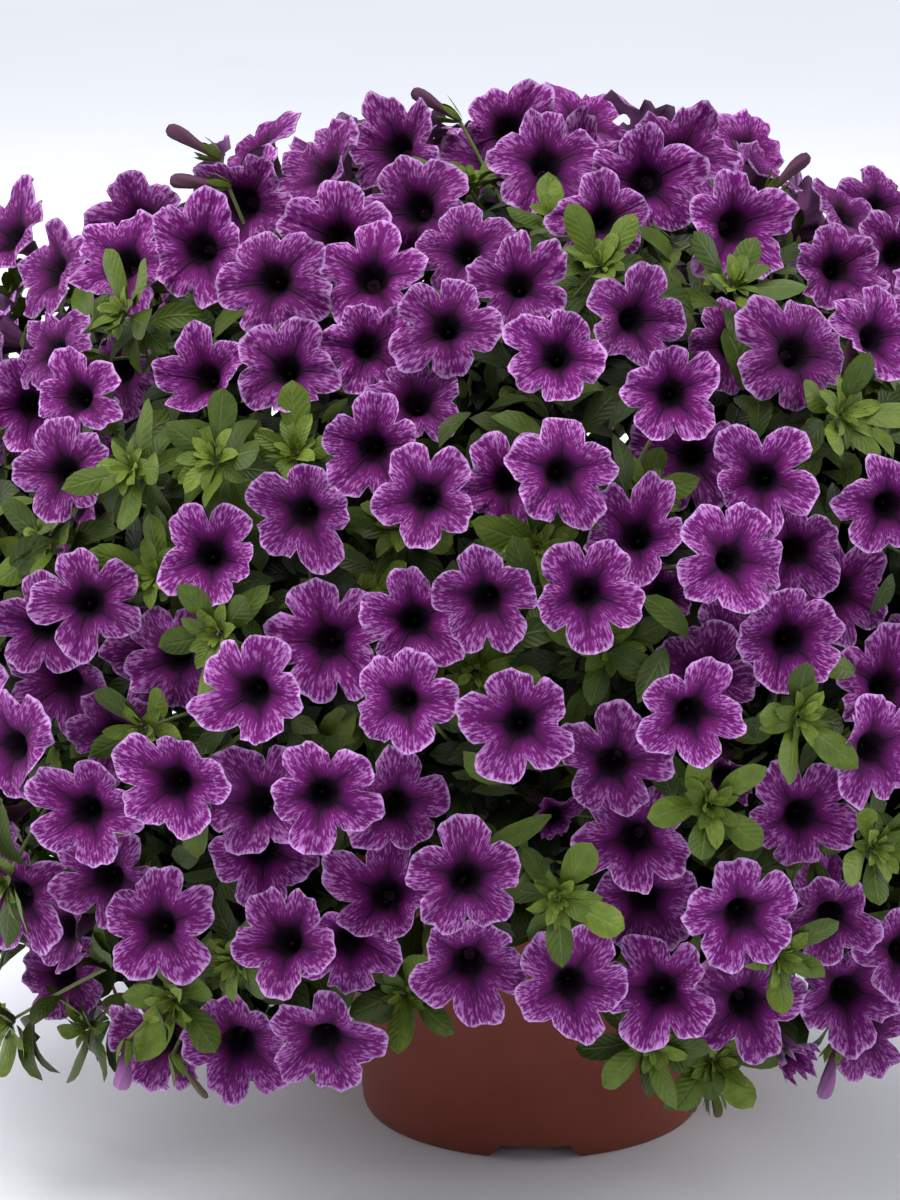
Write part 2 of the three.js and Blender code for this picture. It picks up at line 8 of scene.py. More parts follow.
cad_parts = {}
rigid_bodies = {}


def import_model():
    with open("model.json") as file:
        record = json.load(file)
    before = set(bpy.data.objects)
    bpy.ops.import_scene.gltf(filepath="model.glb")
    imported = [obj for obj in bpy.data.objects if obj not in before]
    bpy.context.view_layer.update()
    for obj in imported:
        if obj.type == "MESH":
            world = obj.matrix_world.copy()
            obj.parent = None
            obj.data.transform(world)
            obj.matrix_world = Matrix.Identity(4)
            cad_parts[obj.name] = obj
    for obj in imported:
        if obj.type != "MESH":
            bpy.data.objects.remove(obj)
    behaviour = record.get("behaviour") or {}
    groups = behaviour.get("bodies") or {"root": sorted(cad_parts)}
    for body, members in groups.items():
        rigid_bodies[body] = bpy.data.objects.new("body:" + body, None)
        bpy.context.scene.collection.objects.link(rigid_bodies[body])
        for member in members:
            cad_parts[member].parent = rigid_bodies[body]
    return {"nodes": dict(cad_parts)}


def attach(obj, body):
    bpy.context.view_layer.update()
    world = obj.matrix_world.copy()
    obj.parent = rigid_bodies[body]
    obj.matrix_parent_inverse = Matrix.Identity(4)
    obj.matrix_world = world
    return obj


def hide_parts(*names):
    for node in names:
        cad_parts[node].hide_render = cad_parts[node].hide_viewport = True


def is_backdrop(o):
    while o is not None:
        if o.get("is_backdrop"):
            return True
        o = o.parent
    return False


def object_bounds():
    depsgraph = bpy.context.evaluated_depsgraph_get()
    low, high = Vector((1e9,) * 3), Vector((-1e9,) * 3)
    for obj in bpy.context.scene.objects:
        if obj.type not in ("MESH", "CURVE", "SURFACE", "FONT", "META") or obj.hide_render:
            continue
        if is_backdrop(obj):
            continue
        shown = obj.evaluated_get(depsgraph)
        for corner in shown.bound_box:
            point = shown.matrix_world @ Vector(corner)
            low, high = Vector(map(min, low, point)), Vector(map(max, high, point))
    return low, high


# The looks of a trailing petunia in its pot. Metres, +Z up, and -Y is the front.
# Every open flower and leaf tuft of the plain model is found in its meshes and grown again there in detail.

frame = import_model()
cad_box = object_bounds()

MM = 0.001
TURN = 2 * math.pi
GOLDEN_ANGLE = math.pi * (3 - math.sqrt(5))
STEM_NODES = sorted(name for name in frame["nodes"] if name.startswith("flowering_stem"))

# The mound that the flowers lie on, a slightly squashed ball whose lower edge is raised at the front.
MOUND_CENTRE = np.array([-15, 0, 245]) * MM
MOUND_RADII = np.array([306, 306, 228]) * MM
LOWER_EDGE = math.radians(141)
FRONT_EDGE = math.radians(114)
FRONT_WIDTH = math.radians(27)

# The stems: each leaves the soil near the pot's axis and arches out to the heart of its head of leaves. The
# hearts near the mound's lower edge lie closer to its surface, and their stems rise and reach further.
SOIL_TOP = 136 * MM
STEM_SPREAD = 81 * MM
STEM_RISE = 5 * MM
STEM_SUNK = 25 * MM
HEART_DEPTH = 76 * MM
HEART_TURN = 0.4
ARCH_RISE = 60 * MM
ARCH_CLIMB = 0.6
LOW = {"from": math.radians(95), "range": math.radians(46)}
LOW_MORE = {"heart": 28 * MM, "reach": 20 * MM, "rise": 42 * MM}

# An open flower of the plain model: five lobes round a throat, with three rim points a lobe at the front and
# two elsewhere. Its notches lie on a circle, within a range of sizes.
LOBES = 5
LOBE_POINTS = (2, 3)
NOTCH = 0.67
NOTCH_RISE = 0.5 * MM
NOTCH_SPREAD = (13 * MM, 20 * MM)
NOT_ROUND = 1.02

# A leaf tuft of the plain model: up to five leaves of three points each round a small crown.
CROWN_RISE = 3 * MM
CROWN_REACH = 6.6 * MM
FEWEST_LEAVES = 4
SHORTEST_RING = 8

# The camera stands back and a little to the left, and looks down on the plant.
CAMERA = {"place": (-0.040, -1.886, 0.722), "pitch": 14, "focal_length": 122.5, "sensor": 36}

draw = np.random.default_rng(7)


# ---- Vectors: arrays whose last axis is x, y, z ----


def unit(a):
    return a / np.linalg.norm(a, axis=-1, keepdims=True)


def around(radius, azimuth, height):
    """A point at a distance from a vertical axis; -Y is bearing 0, and +X is 90 degrees."""
    x, y = radius * np.sin(azimuth), -radius * np.cos(azimuth)
    return np.stack(np.broadcast_arrays(x, y, height), axis=-1)


def across(direction):
    """Two unit vectors square to a direction and to each other."""
    steep = np.abs(direction[..., 2:]) > 0.9
    helper = np.where(steep, [1.0, 0, 0], [0, 0, 1.0])
    first = unit(np.cross(helper, direction))
    return first, np.cross(direction, first)


def square(vector, way):
    """The unit vector nearest to one vector that is square to a unit vector."""
    return unit(vector - way * np.sum(vector * way, axis=-1, keepdims=True))


def swung(angle, first, second):
    """The directions at these angles from one vector towards another that is square to it."""
    return np.cos(angle)[..., None] * first + np.sin(angle)[..., None] * second


def down(amount):
    return np.array([0, 0, -amount])


def bezier(start, bend, end, t):
    """Points of a quadratic curve, with t's steps on a new axis before the last."""
    t = np.asarray(t)[:, None]
    start, bend, end = (np.expand_dims(p, -2) for p in (start, bend, end))
    return (1 - t) ** 2 * start + 2 * t * (1 - t) * bend + t**2 * end


def bezier_way(start, bend, end, t):
    t = np.asarray(t)[:, None]
    start, bend, end = (np.expand_dims(p, -2) for p in (start, bend, end))
    return unit((1 - t) * (bend - start) + t * (end - bend))


# ---- The mound and its stems, by the same rule as the plain model ----


def lower_edge(azimuth):
    turn = np.arctan2(np.sin(azimuth), np.cos(azimuth)) / FRONT_WIDTH
    return LOWER_EDGE - (LOWER_EDGE - FRONT_EDGE) * np.exp(-turn * turn)


def even_sites(count, turn):
    """Bearings and leans of places spread evenly over the mound, and each one's share of the list."""
    index = np.arange(count)
    azimuth = index * GOLDEN_ANGLE + turn
    share = (index + 0.5) / count
    return azimuth, np.arccos(1 - share * (1 - np.cos(lower_edge(azimuth)))), share


def on_mound(polar, azimuth, rise):
    reach = (MOUND_RADII[0] + rise) * np.sin(polar)
    return MOUND_CENTRE + around(reach, azimuth, (MOUND_RADII[2] + rise) * np.cos(polar))


def seen(across, up, depth):
    """The point at this depth that the camera sees at a place of the upright plane through the pot."""
    eye = np.array(CAMERA["place"])
    sight = np.array([across * MM, 0, up * MM]) - eye
    return eye + sight * (depth * MM - eye[1]) / -eye[1]


def nearest(heart, points):
    """The stem whose heart is nearest to each point."""
    return np.argmin(np.linalg.norm(points[:, None] - heart[None], axis=-1), axis=1)


def outward(points):
    """The mound's outward direction at points near its surface."""
    return unit((points - MOUND_CENTRE) / MOUND_RADII**2)


def grow_stems():
    """Each stem's root, start, bend and heart."""
    azimuth, polar, share = even_sites(len(STEM_NODES), HEART_TURN)
    root_radius = STEM_SPREAD * np.sqrt(share)
    over = np.clip((polar - LOW["from"]) / LOW["range"], 0, 1)
    heart = on_mound(polar, azimuth, -HEART_DEPTH + LOW_MORE["heart"] * over)
    bearing = np.arctan2(heart[:, 0], -heart[:, 1])
    reach = np.hypot(heart[:, 0], heart[:, 1])
    bend_radius = (root_radius + reach) / 2 + LOW_MORE["reach"] * over
    arch = SOIL_TOP + ARCH_RISE
    climb = ARCH_CLIMB * np.maximum(0, heart[:, 2] - arch)
    bend = around(bend_radius, bearing, arch + climb + LOW_MORE["rise"] * over)
    root = around(root_radius, bearing, SOIL_TOP - STEM_SUNK)
    start = around(root_radius, bearing, SOIL_TOP + STEM_RISE)
    return root, start, bend, heart


# ---- Flowers and leaf tufts found in the plain model ----


def vertex_rings(node):
    """A node's welded vertices, and for each one the closed ring of vertices round it."""
    mesh = frame["nodes"][node].data
    places = np.empty(len(mesh.vertices) * 3, np.float32)
    mesh.vertices.foreach_get("co", places)
    points, same = np.unique(places.reshape(-1, 3), axis=0, return_inverse=True)
    mesh.calc_loop_triangles()
    corners = np.empty(len(mesh.loop_triangles) * 3, np.int32)
    mesh.loop_triangles.foreach_get("vertices", corners)
    follows = [{} for _ in points]
    for a, b, c in same.ravel()[corners].reshape(-1, 3).tolist():
        follows[a][b] = c
        follows[b][c] = a
        follows[c][a] = b
    return points.astype(float), [ring_of(follow) for follow in follows]


def ring_of(follow):
    start = next(iter(follow))
    ring = [start]
    while len(ring) <= len(follow):
        after = follow.get(ring[-1])
        if after is None or after == start:
            break
        ring.append(after)
    return ring if len(ring) == len(follow) else []


def flower_at(hub, ring):
    """The flower whose throat is the hub vertex, if the ring round it has five even notches."""
    per_lobe = len(ring) // LOBES
    if per_lobe * LOBES != len(ring) or per_lobe not in LOBE_POINTS:
        return None
    reach = np.linalg.norm(ring - hub, axis=1)
    first = int(np.argmin(reach))
    notches = ring[(first + per_lobe * np.arange(LOBES)) % len(ring)]
    middle = notches.mean(axis=0)
    spread = np.linalg.norm(notches - middle, axis=1)
    least, most = NOTCH_SPREAD
    if spread.max() > NOT_ROUND * spread.min() or not least < spread.mean() < most:
        return None
    axis = unit(middle - hub)
    return {
        "centre": middle - NOTCH_RISE * axis,
        "axis": axis,
        "notch": unit(notches[0] - middle),
        "radius": FULLNESS * spread.mean() / NOTCH,
        "front": per_lobe == max(LOBE_POINTS),
    }


def tuft_at(hub, ring):
    """The tuft whose crown is the hub vertex: the leaves between the crown's five near points."""
    near = np.linalg.norm(ring - hub, axis=1) < CROWN_REACH
    if near.sum() != LOBES or (len(ring) - LOBES) % 3:
        return None
    leaves = []
    for i in np.flatnonzero(near):
        if not near[(i + 1) % len(ring)]:
            start, left, tip, right, end = ring[(i + np.arange(5)) % len(ring)]
            leaves.append({"base": (start + end) / 2, "left": left, "tip": tip, "right": right})
    crown = ring[near]
    axis = unit(hub - crown.mean(axis=0))
    tuft = {"centre": hub - CROWN_RISE * axis, "axis": axis, "leaves": leaves}
    return tuft if len(leaves) >= FEWEST_LEAVES else None


def read_plain_model():
    flowers, tufts = [], []
    for stem, node in enumerate(STEM_NODES):
        points, rings = vertex_rings(node)
        for hub, ring in zip(points, rings):
            if len(ring) < SHORTEST_RING:
                continue
            flower = flower_at(hub, points[ring])
            tuft = None if flower else tuft_at(hub, points[ring])
            for found, kept in ((flower, flowers), (tuft, tufts)):
                if found:
                    kept.append({**found, "stem": stem})
    return flowers, tufts


# ---- Skins: grids of points that become one mesh ----


class Skin:
    """Grids of points for one mesh, with the two numbers and the tone that its materials read, and a depth
    that sets a leaf's painted shade.
    """

    def __init__(self):
        self.points, self.corners, self.maps = [], [], []
        self.tones, self.depths, self.finishes = [], [], []
        self.count = 0

    def add(self, points, u, v, tone, depth=0.0, finish=0, closed=False):
        """points is copies x rows x columns x 3. A closed grid's last column meets its first."""
        copies, rows, columns = points.shape[:3]
        index = self.count + np.arange(copies * rows * columns).reshape(copies, rows, columns)
        column = np.arange(columns if closed else columns - 1)
        steps = ((0, 0), (0, 1), (1, 1), (1, 0))
        u = np.broadcast_to(u, (copies, rows, columns + closed))
        v = np.broadcast_to(v, (copies, rows, columns + closed))
        ends = {0: slice(None, -1), 1: slice(1, None)}
        around_face = [index[:, ends[row]][:, :, (column + step) % columns] for row, step in steps]
        both = np.stack([u, v], axis=-1)
        maps = [both[:, ends[row]][:, :, column + step] for row, step in steps]
        self.corners.append(np.stack(around_face, axis=-1).reshape(-1, 4))
        self.maps.append(np.stack(maps, axis=-2).reshape(-1, 2))
        self.points.append(points.reshape(-1, 3))
        for kept, value in ((self.tones, tone), (self.depths, depth)):
            each = np.broadcast_to(np.reshape(value, (-1, 1)), (copies, rows * columns))
            kept.append(each.reshape(-1))
        self.finishes.append(np.full(len(self.corners[-1]), finish))
        self.count += copies * rows * columns

    def piece(self, name, slot, materials, nodes):
        """The skin as an object that stands for plain nodes."""
        mesh = bpy.data.meshes.new(name)
        corners = np.concatenate(self.corners)
        mesh.from_pydata(np.concatenate(self.points).tolist(), [], corners.tolist())
        mesh.uv_layers.new(name="Map").data.foreach_set("uv", np.concatenate(self.maps).ravel())
        for label, kept in (("tone", self.tones), ("depth", self.depths)):
            values = np.concatenate(kept).astype(np.float32)
            mesh.attributes.new(label, "FLOAT", "POINT").data.foreach_set("value", values)
        mesh.polygons.foreach_set("material_index", np.concatenate(self.finishes).astype(np.int32))
        for material in materials:
            mesh.materials.append(material)
        seat(bpy.data.objects.new(name, mesh), nodes)


def column_of(rows, key):
    return np.array([row[key] for row in rows])


def solid(name, points, faces):
    mesh = bpy.data.meshes.new(name)
    mesh.from_pydata(points, [], faces)
    return bpy.data.objects.new(name, mesh)


def show(name, data):
    """A new object in the scene."""
    made = bpy.data.objects.new(name, data)
    bpy.context.scene.collection.objects.link(made)
    return made


def seat(piece, nodes):
    """Shows a piece, shaded smooth, in place of plain nodes."""
    piece.data.polygons.foreach_set("use_smooth", np.ones(len(piece.data.polygons), bool))
    bpy.context.scene.collection.objects.link(piece)
    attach(piece, "root")
    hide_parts(*nodes)


def tubes(skin, line, radius, sides, tone, finish=0):
    """Round tubes along lines: line is copies x rows x 3, and radius is rows, or copies x rows."""
    ahead = unit(np.gradient(line, axis=1))
    first = square(across(unit(line[:, -1:] - line[:, :1]))[0], ahead)
    second = np.cross(ahead, first)
    turn = np.arange(sides) * TURN / sides
    ring = swung(turn, first[:, :, None], second[:, :, None])
    points = line[:, :, None] + ring * radius[..., None, None]
    along = np.linspace(0, 1, line.shape[1])[:, None]
    skin.add(points, np.arange(sides + 1) / sides, along, tone, finish=finish, closed=True)


# ---- Flowers ----

# From the throat's bottom to the rim: shares of the radius, and heights over the plane of a flower whose
# radius is WIDE. The backs of the petals lie behind, and have fewer rows.
REACH = np.array([0.02, 0.09, 0.165, 0.26, 0.36, 0.48, 0.6, 0.72, 0.85, 1.0])
HEIGHT = np.array([-21, -17, -9.5, -4.6, -2.7, -1.4, -0.5, 0.1, 0.2, -0.7]) * MM
WIDE = 25 * MM
THROAT = 0.26
BACK_REACH = np.array([0.995, 0.85, 0.6, 0.36])
FRONT_STEPS = 12
OTHER_STEPS = 8
FULLNESS = 1.03
PETAL = 0.5 * MM
PETAL_FRONT, PETAL_BACK, POLLEN = 0, 1, 2

# Two waves run along the rim, each so many to a lobe. They scallop the outline and ruffle the face.
WAVES = (2.2, 3.4)
SCALLOP = 0.02
SCALLOP_FINE, RUFFLE_FINE = 0.8, 0.6
NOTCH_CUT = {"depth": 0.035, "width": 0.16}
VALLEY = {"depth": 1.5 * MM, "width": 0.25}
CUP = {"height": 2.4 * MM, "level_at": 0.35}
SKEW = 4

# The range of the ruffles in mm, the mean and spread of how far the lobes close in degrees, and how strongly
# flowers that face away are turned to the camera.
RUFFLE = (0.7, 2.3)
CLOSED = (4, 8)
TO_CAMERA = 0.5

# The tube behind a flower, from the neck under the throat to the calyx, and how its colours are mapped.
NECK_DROP = 13 * MM
TUBE_LENGTH = 18 * MM
TUBE_BEND = 0.45
TUBE_ALONG = np.array([0, 0.35, 0.7, 1])
TUBE_RADIUS = np.array([4.3, 3.0, 2.3, 2.6]) * MM
TUBE_MAP = np.array([0.2, 0.14, 0.07, 0])
POLLEN_DROP = 10 * MM
POLLEN_ALONG = np.array([0, 0.6, 1.6, 2.4]) * MM
POLLEN_RADIUS = np.array([0.1, 0.8, 0.9, 0.3]) * MM
SEPAL = {"sunk": 1.5 * MM, "out": 1.2 * MM, "length": 12.5 * MM, "spread": (2.5, 6.5), "width": 3.4 * MM}
SEPAL_MIDDLE = {"along": 6 * MM, "out": 3.2 * MM}


def petal_traits(count, openness):
    """What sets each flower apart: its lobes' lengths and bends, its ruffles, and its colour."""
    return {
        "openness": openness,
        "length": 1 + 0.06 * draw.standard_normal((count, LOBES)),
        "bend": np.radians(15) * draw.standard_normal((count, LOBES)),
        "cup": draw.normal(-0.3, 1.0, (count, LOBES)),
        "notch_depth": np.clip(draw.normal(0.62, 0.05, (count, 1)), 0.5, 0.74),
        "roundness": draw.uniform(0.42, 0.68, (count, 1)),
        "skew": 0.12 * draw.standard_normal((count, LOBES)),
        "ruffle": draw.uniform(*RUFFLE, (count, 1)) * MM,
        "phase": draw.uniform(0, TURN, (count, 4)),
        "tone": draw.uniform(0, 1, count),
    }


def waves(turn, phases, fine):
    """The rim's two waves, the second of which is this share as high."""
    first, second = (np.sin(TURN * count * turn + phases[:, [i]]) for i, count in enumerate(WAVES))
    return first + fine * second


def bell(place, width):
    return np.exp(-((place / width) ** 2))


def petal_points(flowers, traits, reach, turn):
    """Points of the flowers' faces, on rings at these shares of the radius, at these turns in lobes."""
    lobe = np.floor(turn).astype(int) % LOBES
    phase = turn - np.floor(turn)
    side = np.abs(phase - 0.5) * 2
    skew = SKEW * traits["skew"][:, lobe] * phase * (1 - phase)
    hump = np.maximum(np.sin(math.pi * np.clip(phase + skew, 0, 1)), 0)

    inner = traits["notch_depth"]
    outline = inner + (traits["length"][:, lobe] - inner) * hump ** traits["roundness"]
    outline = outline + SCALLOP * waves(turn, traits["phase"][:, :2], SCALLOP_FINE)
    outline = outline - NOTCH_CUT["depth"] * bell(side, NOTCH_CUT["width"])

    radius = flowers["radius"][:, None]
    limb = np.clip((reach - THROAT) / (1 - THROAT), 0, 1)[:, None]
    length = ((outline - THROAT) * radius)[:, None] * limb
    angle = (traits["openness"][:, None] + traits["bend"][:, lobe] * hump**0.7)[:, None] * limb**0.5
    level = np.minimum(reach, THROAT)[:, None] * radius[:, None] + length * np.cos(angle)
    height = np.interp(reach, REACH, HEIGHT)[:, None] * radius[:, None] / WIDE + length * np.sin(angle)

    valley = limb * side**8 + np.sin(math.pi * limb) * bell(side, VALLEY["width"])
    ruffle = traits["ruffle"] * waves(turn, traits["phase"][:, 2:], RUFFLE_FINE)
    cupping = CUP["height"] * traits["cup"][:, lobe] * (side**2 - CUP["level_at"]) * (1 - side**4)
    height = height - VALLEY["depth"] * valley + limb**2 * (ruffle + cupping)[:, None]

    x, z = flowers["notch"][:, None], flowers["axis"][:, None]
    spread = swung(turn * TURN / LOBES, x, np.cross(z, x))
    centre = flowers["centre"][:, None, None]
    return centre + spread[:, None] * level[..., None] + z[:, None] * height[..., None]


def flower_skin(skin, flowers, traits, steps):
    """The lobes' faces, their backs with the tubes behind, and the pollen in the throats."""
    tone = traits["tone"]
    turn = np.arange(LOBES * steps) / steps
    mapped = np.arange(LOBES * steps + 1) / steps
    front = petal_points(flowers, traits, REACH, turn)
    skin.add(front, mapped, REACH[:, None], tone, finish=PETAL_FRONT, closed=True)

    axis = flowers["axis"]
    lobes = petal_points(flowers, traits, BACK_REACH, turn) - PETAL * axis[:, None, None]
    neck, end = tube_ends(flowers)
    bend = neck - TUBE_BEND * TUBE_LENGTH * axis
    line = bezier(neck, bend, end, TUBE_ALONG)
    way = bezier_way(neck, bend, end, TUBE_ALONG)
    x = square(flowers["notch"][:, None], way)
    ring = swung(-turn * TURN / LOBES, x[:, :, None], np.cross(way, x)[:, :, None])
    tube = line[:, :, None] + ring * TUBE_RADIUS[:, None, None]
    back = np.concatenate([lobes, tube], axis=1)
    along = np.concatenate([BACK_REACH, TUBE_MAP])[:, None]
    skin.add(back, mapped, along, tone, finish=PETAL_BACK, closed=True)

    tip = flowers["centre"] - POLLEN_DROP * axis
    line = tip[:, None] - POLLEN_ALONG[:, None] * axis[:, None]
    tubes(skin, line, POLLEN_RADIUS, 5, tone, finish=POLLEN)


def tube_ends(flowers):
    """Where each flower's tube leaves its throat, and where it ends in its calyx."""
    neck = flowers["centre"] - NECK_DROP * flowers["axis"]
    return neck, neck + TUBE_LENGTH * unit(flowers["heart"] - neck)


def calyxes(end, way, owner):
    """Five narrow green sepals that hug the base of each tube."""
    way = way[:, None]
    turn = np.arange(LOBES) * TURN / LOBES + 0.3
    out = swung(turn, *across(way))
    base = end[:, None] - SEPAL["sunk"] * way + SEPAL["out"] * out
    spread = draw.uniform(*SEPAL["spread"], out.shape[:2])[..., None] * MM
    tip = base + SEPAL["length"] * way + spread * out
    middle = base + SEPAL_MIDDLE["along"] * way + SEPAL_MIDDLE["out"] * out
    return gather(base, middle, tip, np.cross(way, out), SEPAL["width"], tone=0.7, owner=owner[:, None])


# ---- Extra flowers and buds that the photo shows ----

# Flowers with no room of their own in the plain model, and crumpled young ones: across, up and depth of the
# place, the radius, how far the lobes close forward in degrees, and the ruffle.
MORE_FLOWERS = [
    (-56, 349, -205, 23, 4, 1.2),
    (95, 229, -232, 23, 4, 1.2),
    (10, 144, -262, 14, 52, 2.2),
    (91, 164, -252, 14, 45, 2.4),
    (61, 256, -236, 15, 40, 2.6),
    (127, 22, -228, 15, 58, 2.8),
]

# Buds: across, up and depth of the base, the way that it points, its length, its width, and how far along
# the colours of a petal's back its tip gets.
BUDS = [
    (-147, 463, -62, (-0.8, -0.15, 0.5), 27, 7.4, 0.17),
    (-143, 450, -80, (-0.95, -0.2, 0.12), 26, 7.4, 0.17),
    (-36, 481, -22, (-0.8, -0.1, 0.5), 25, 7.0, 0.2),
    (107, 446, -55, (0.7, -0.1, 0.7), 26, 7.0, 0.2),
    (-198, 30, -232, (-0.12, -0.1, -1.0), 22, 8.4, 0.8),
    (-176, 22, -222, (0.6, -0.1, -0.75), 24, 3.6, 0.03),
    (150, 30, -205, (-0.25, -0.1, -1.0), 27, 7.5, 0.7),
    (82, 8, -165, (-0.25, -0.2, -1.0), 14, 4.2, 0.03),
    (88, 4, -168, (0.3, -0.1, -1.0), 13, 4.2, 0.03),
]
BUD_ALONG = np.array([0, 0.12, 0.3, 0.5, 0.68, 0.82, 0.93, 1.0])
BUD_WIDTH = np.array([0.4, 0.45, 0.52, 0.7, 0.95, 1.0, 0.9, 0.5])
BUD_SIDES = 20
BUD_TWIST = 1.5
BUD_PLEAT = 0.14

# Flowers that fill the gaps at the sides and back: candidate places on the mound, how far the camera's side
# reaches in bearing, and the least distances to other flowers and to tufts.
GAP_SITES = 1500
GAP_FRONT = math.radians(62)
GAP_APART = 37 * MM
GAP_TO_TUFT = 26 * MM


def gap_places(flowers, tufts):
    """The places at the sides and back that are clear of flowers and tufts, and of each other."""
    azimuth, polar, _ = even_sites(GAP_SITES, 0.3)
    places = on_mound(polar, azimuth, 3 * MM)
    side = np.abs(np.arctan2(np.sin(azimuth), np.cos(azimuth))) > GAP_FRONT
    crowns = column_of(tufts, "centre")
    taken = list(flowers["centre"])
    found = []
    for place in places[side]:
        clear = np.linalg.norm(np.array(taken) - place, axis=1).min() > GAP_APART
        if clear and np.linalg.norm(crowns - place, axis=1).min() > GAP_TO_TUFT:
            taken.append(place)
            found.append(place)
    return np.array(found)


def more_flowers(heart, places):
    """Headings and traits of the extra flowers, in the same form as those of the plain model."""
    shown = np.array([seen(*row[:3]) for row in MORE_FLOWERS])
    centre = np.concatenate([shown, places])
    count = len(centre)
    front = np.arange(count) < len(shown)
    to_camera = unit(np.array(CAMERA["place"]) - centre)
    facing = TO_CAMERA * front[:, None] * to_camera
    axis = unit(outward(centre) + facing + 0.2 * draw.standard_normal(centre.shape))
    stem = nearest(heart, centre - 50 * MM * axis)
    radius, closed = draw.uniform(20, 24, count), draw.normal(*CLOSED, count)
    ruffle = draw.uniform(*RUFFLE, count)
    for kept, place in ((radius, 3), (closed, 4), (ruffle, 5)):
        kept[front] = column_of(MORE_FLOWERS, place)
    traits = petal_traits(count, np.radians(closed))
    traits["ruffle"] = ruffle[:, None] * MM
    flowers = {
        "centre": centre,
        "axis": axis,
        "notch": across(axis)[0],
        "radius": radius * MM,
        "stem": stem,
        "front": front,
        "heart": heart[stem],
    }
    return flowers, traits


def bud_places(heart):
    base = np.array([seen(*row[:3]) for row in BUDS])
    way = unit(column_of(BUDS, 3))
    length, width, end = (column_of(BUDS, i) for i in (4, 5, 6))
    sizes = {"length": length * MM, "width": width * MM, "end": end}
    return {"base": base, "way": way, "stem": nearest(heart, base), **sizes}


def bud_skin(skin, buds):
    """Closed flowers: slim tubes that swell to a twisted, pleated tip."""
    along = BUD_ALONG[:, None]
    turn = np.arange(BUD_SIDES) * TURN / BUD_SIDES
    pleat = 1 - BUD_PLEAT * along * (1 + np.cos(LOBES * turn))
    radius = 0.5 * buds["width"][:, None, None] * BUD_WIDTH[:, None] * pleat
    ring = swung(turn + BUD_TWIST * along, *across(buds["way"][:, None, None]))
    line = buds["base"][:, None] + along * (buds["length"][:, None] * buds["way"])[:, None]
    points = line[:, :, None] + ring * radius[..., None]
    mapped = np.arange(BUD_SIDES + 1) * LOBES / BUD_SIDES
    tone = draw.uniform(0, 1, len(buds["base"]))
    skin.add(points, mapped, along * buds["end"][:, None, None], tone, finish=PETAL_BACK, closed=True)


# ---- Leaves ----

LEAF_FOLD = 0.25
LEAF_MIDDLE = 0.55
LEAF_WAVE = 0.08
BROAD_LEAF, PLAIN_LEAF = (8, 5), (6, 3)


def gather(base, middle, tip, side, width, tone, owner, depth=0.0):
    """Leaves as flat arrays, one row each, each rolled a little. Their depth sets how much painted shade the
    leaf material puts on them.
    """
    shape = base.shape[:-1]
    flat = {"base": base, "middle": middle, "tip": tip, "side": side}
    leaves = {key: np.broadcast_to(value, shape + (3,)).reshape(-1, 3) for key, value in flat.items()}
    roll = 0.3 * draw.standard_normal(shape)
    numbers = {"width": width, "tone": tone, "owner": owner, "depth": depth, "roll": roll}
    for key, value in numbers.items():
        leaves[key] = np.broadcast_to(value, shape).reshape(-1)
    return leaves


def grown(base, way, end_way, side, length, width, tone, owner, depth=0.0):
    """Leaves that set out one way and end another, each as wide as this share of its length."""
    middle = base + LEAF_MIDDLE * length * way
    tip = base + length * unit(end_way)
    return gather(base, middle, tip, side, width * length[..., 0], tone, owner, depth)


def chosen(arrays, mask):
    return {key: value[mask] for key, value in arrays.items()}


def blade_skin(skin, leaves, grid):
    """Oval blades folded a little along the midrib, from a short stalk to a blunt tip."""
    rows, columns = grid
    along = np.linspace(0, 1, rows)
    cross_way = np.linspace(-1, 1, columns)
    bend = 2 * leaves["middle"] - 0.5 * (leaves["base"] + leaves["tip"])
    line = bezier(leaves["base"], bend, leaves["tip"], along)
    way = bezier_way(leaves["base"], bend, leaves["tip"], along)
    side = square(leaves["side"][:, None], way)
    side = swung(leaves["roll"][:, None] * (0.3 + along), side, np.cross(way, side))
    normal = np.cross(way, side)
    outline = np.maximum(np.sin(math.pi * along**1.12) ** 0.66, 0.1 * (1 - along))
    half = 0.5 * leaves["width"][:, None, None] * outline[:, None]
    fold = LEAF_FOLD * np.abs(cross_way) ** 1.4
    wave = LEAF_WAVE * np.sin(9 * along + 20 * leaves["tone"][:, None])[..., None] * cross_way
    points = line[:, :, None] + side[:, :, None] * (cross_way * half)[..., None]
    points = points + normal[:, :, None] * ((fold + wave) * half)[..., None]
    skin.add(points, (cross_way + 1) / 2, along[:, None], leaves["tone"], leaves["depth"])


# The leaves added to each tuft: two rings of young ones inside its own, and one of older ones behind them.
# Lengths and the rise over the crown are in mm, the climb says how steeply they set out, and the depth sets
# their painted shade.
TUFT_RINGS = [
    {"count": 9, "length": (10, 19), "climb": (0.3, 1.3), "rise": -1, "tone": (0.5, 0.95), "depth": 0},
    {"count": 7, "length": (5, 10), "climb": (1.0, 2.4), "rise": 1, "tone": (0.75, 1.05), "depth": 0},
    {"count": 7, "length": (20, 31), "climb": (-0.2, 0.5), "rise": -12, "tone": (0.1, 0.6), "depth": 0.3},
]
TUFT_LEAF_WIDTH = 0.42


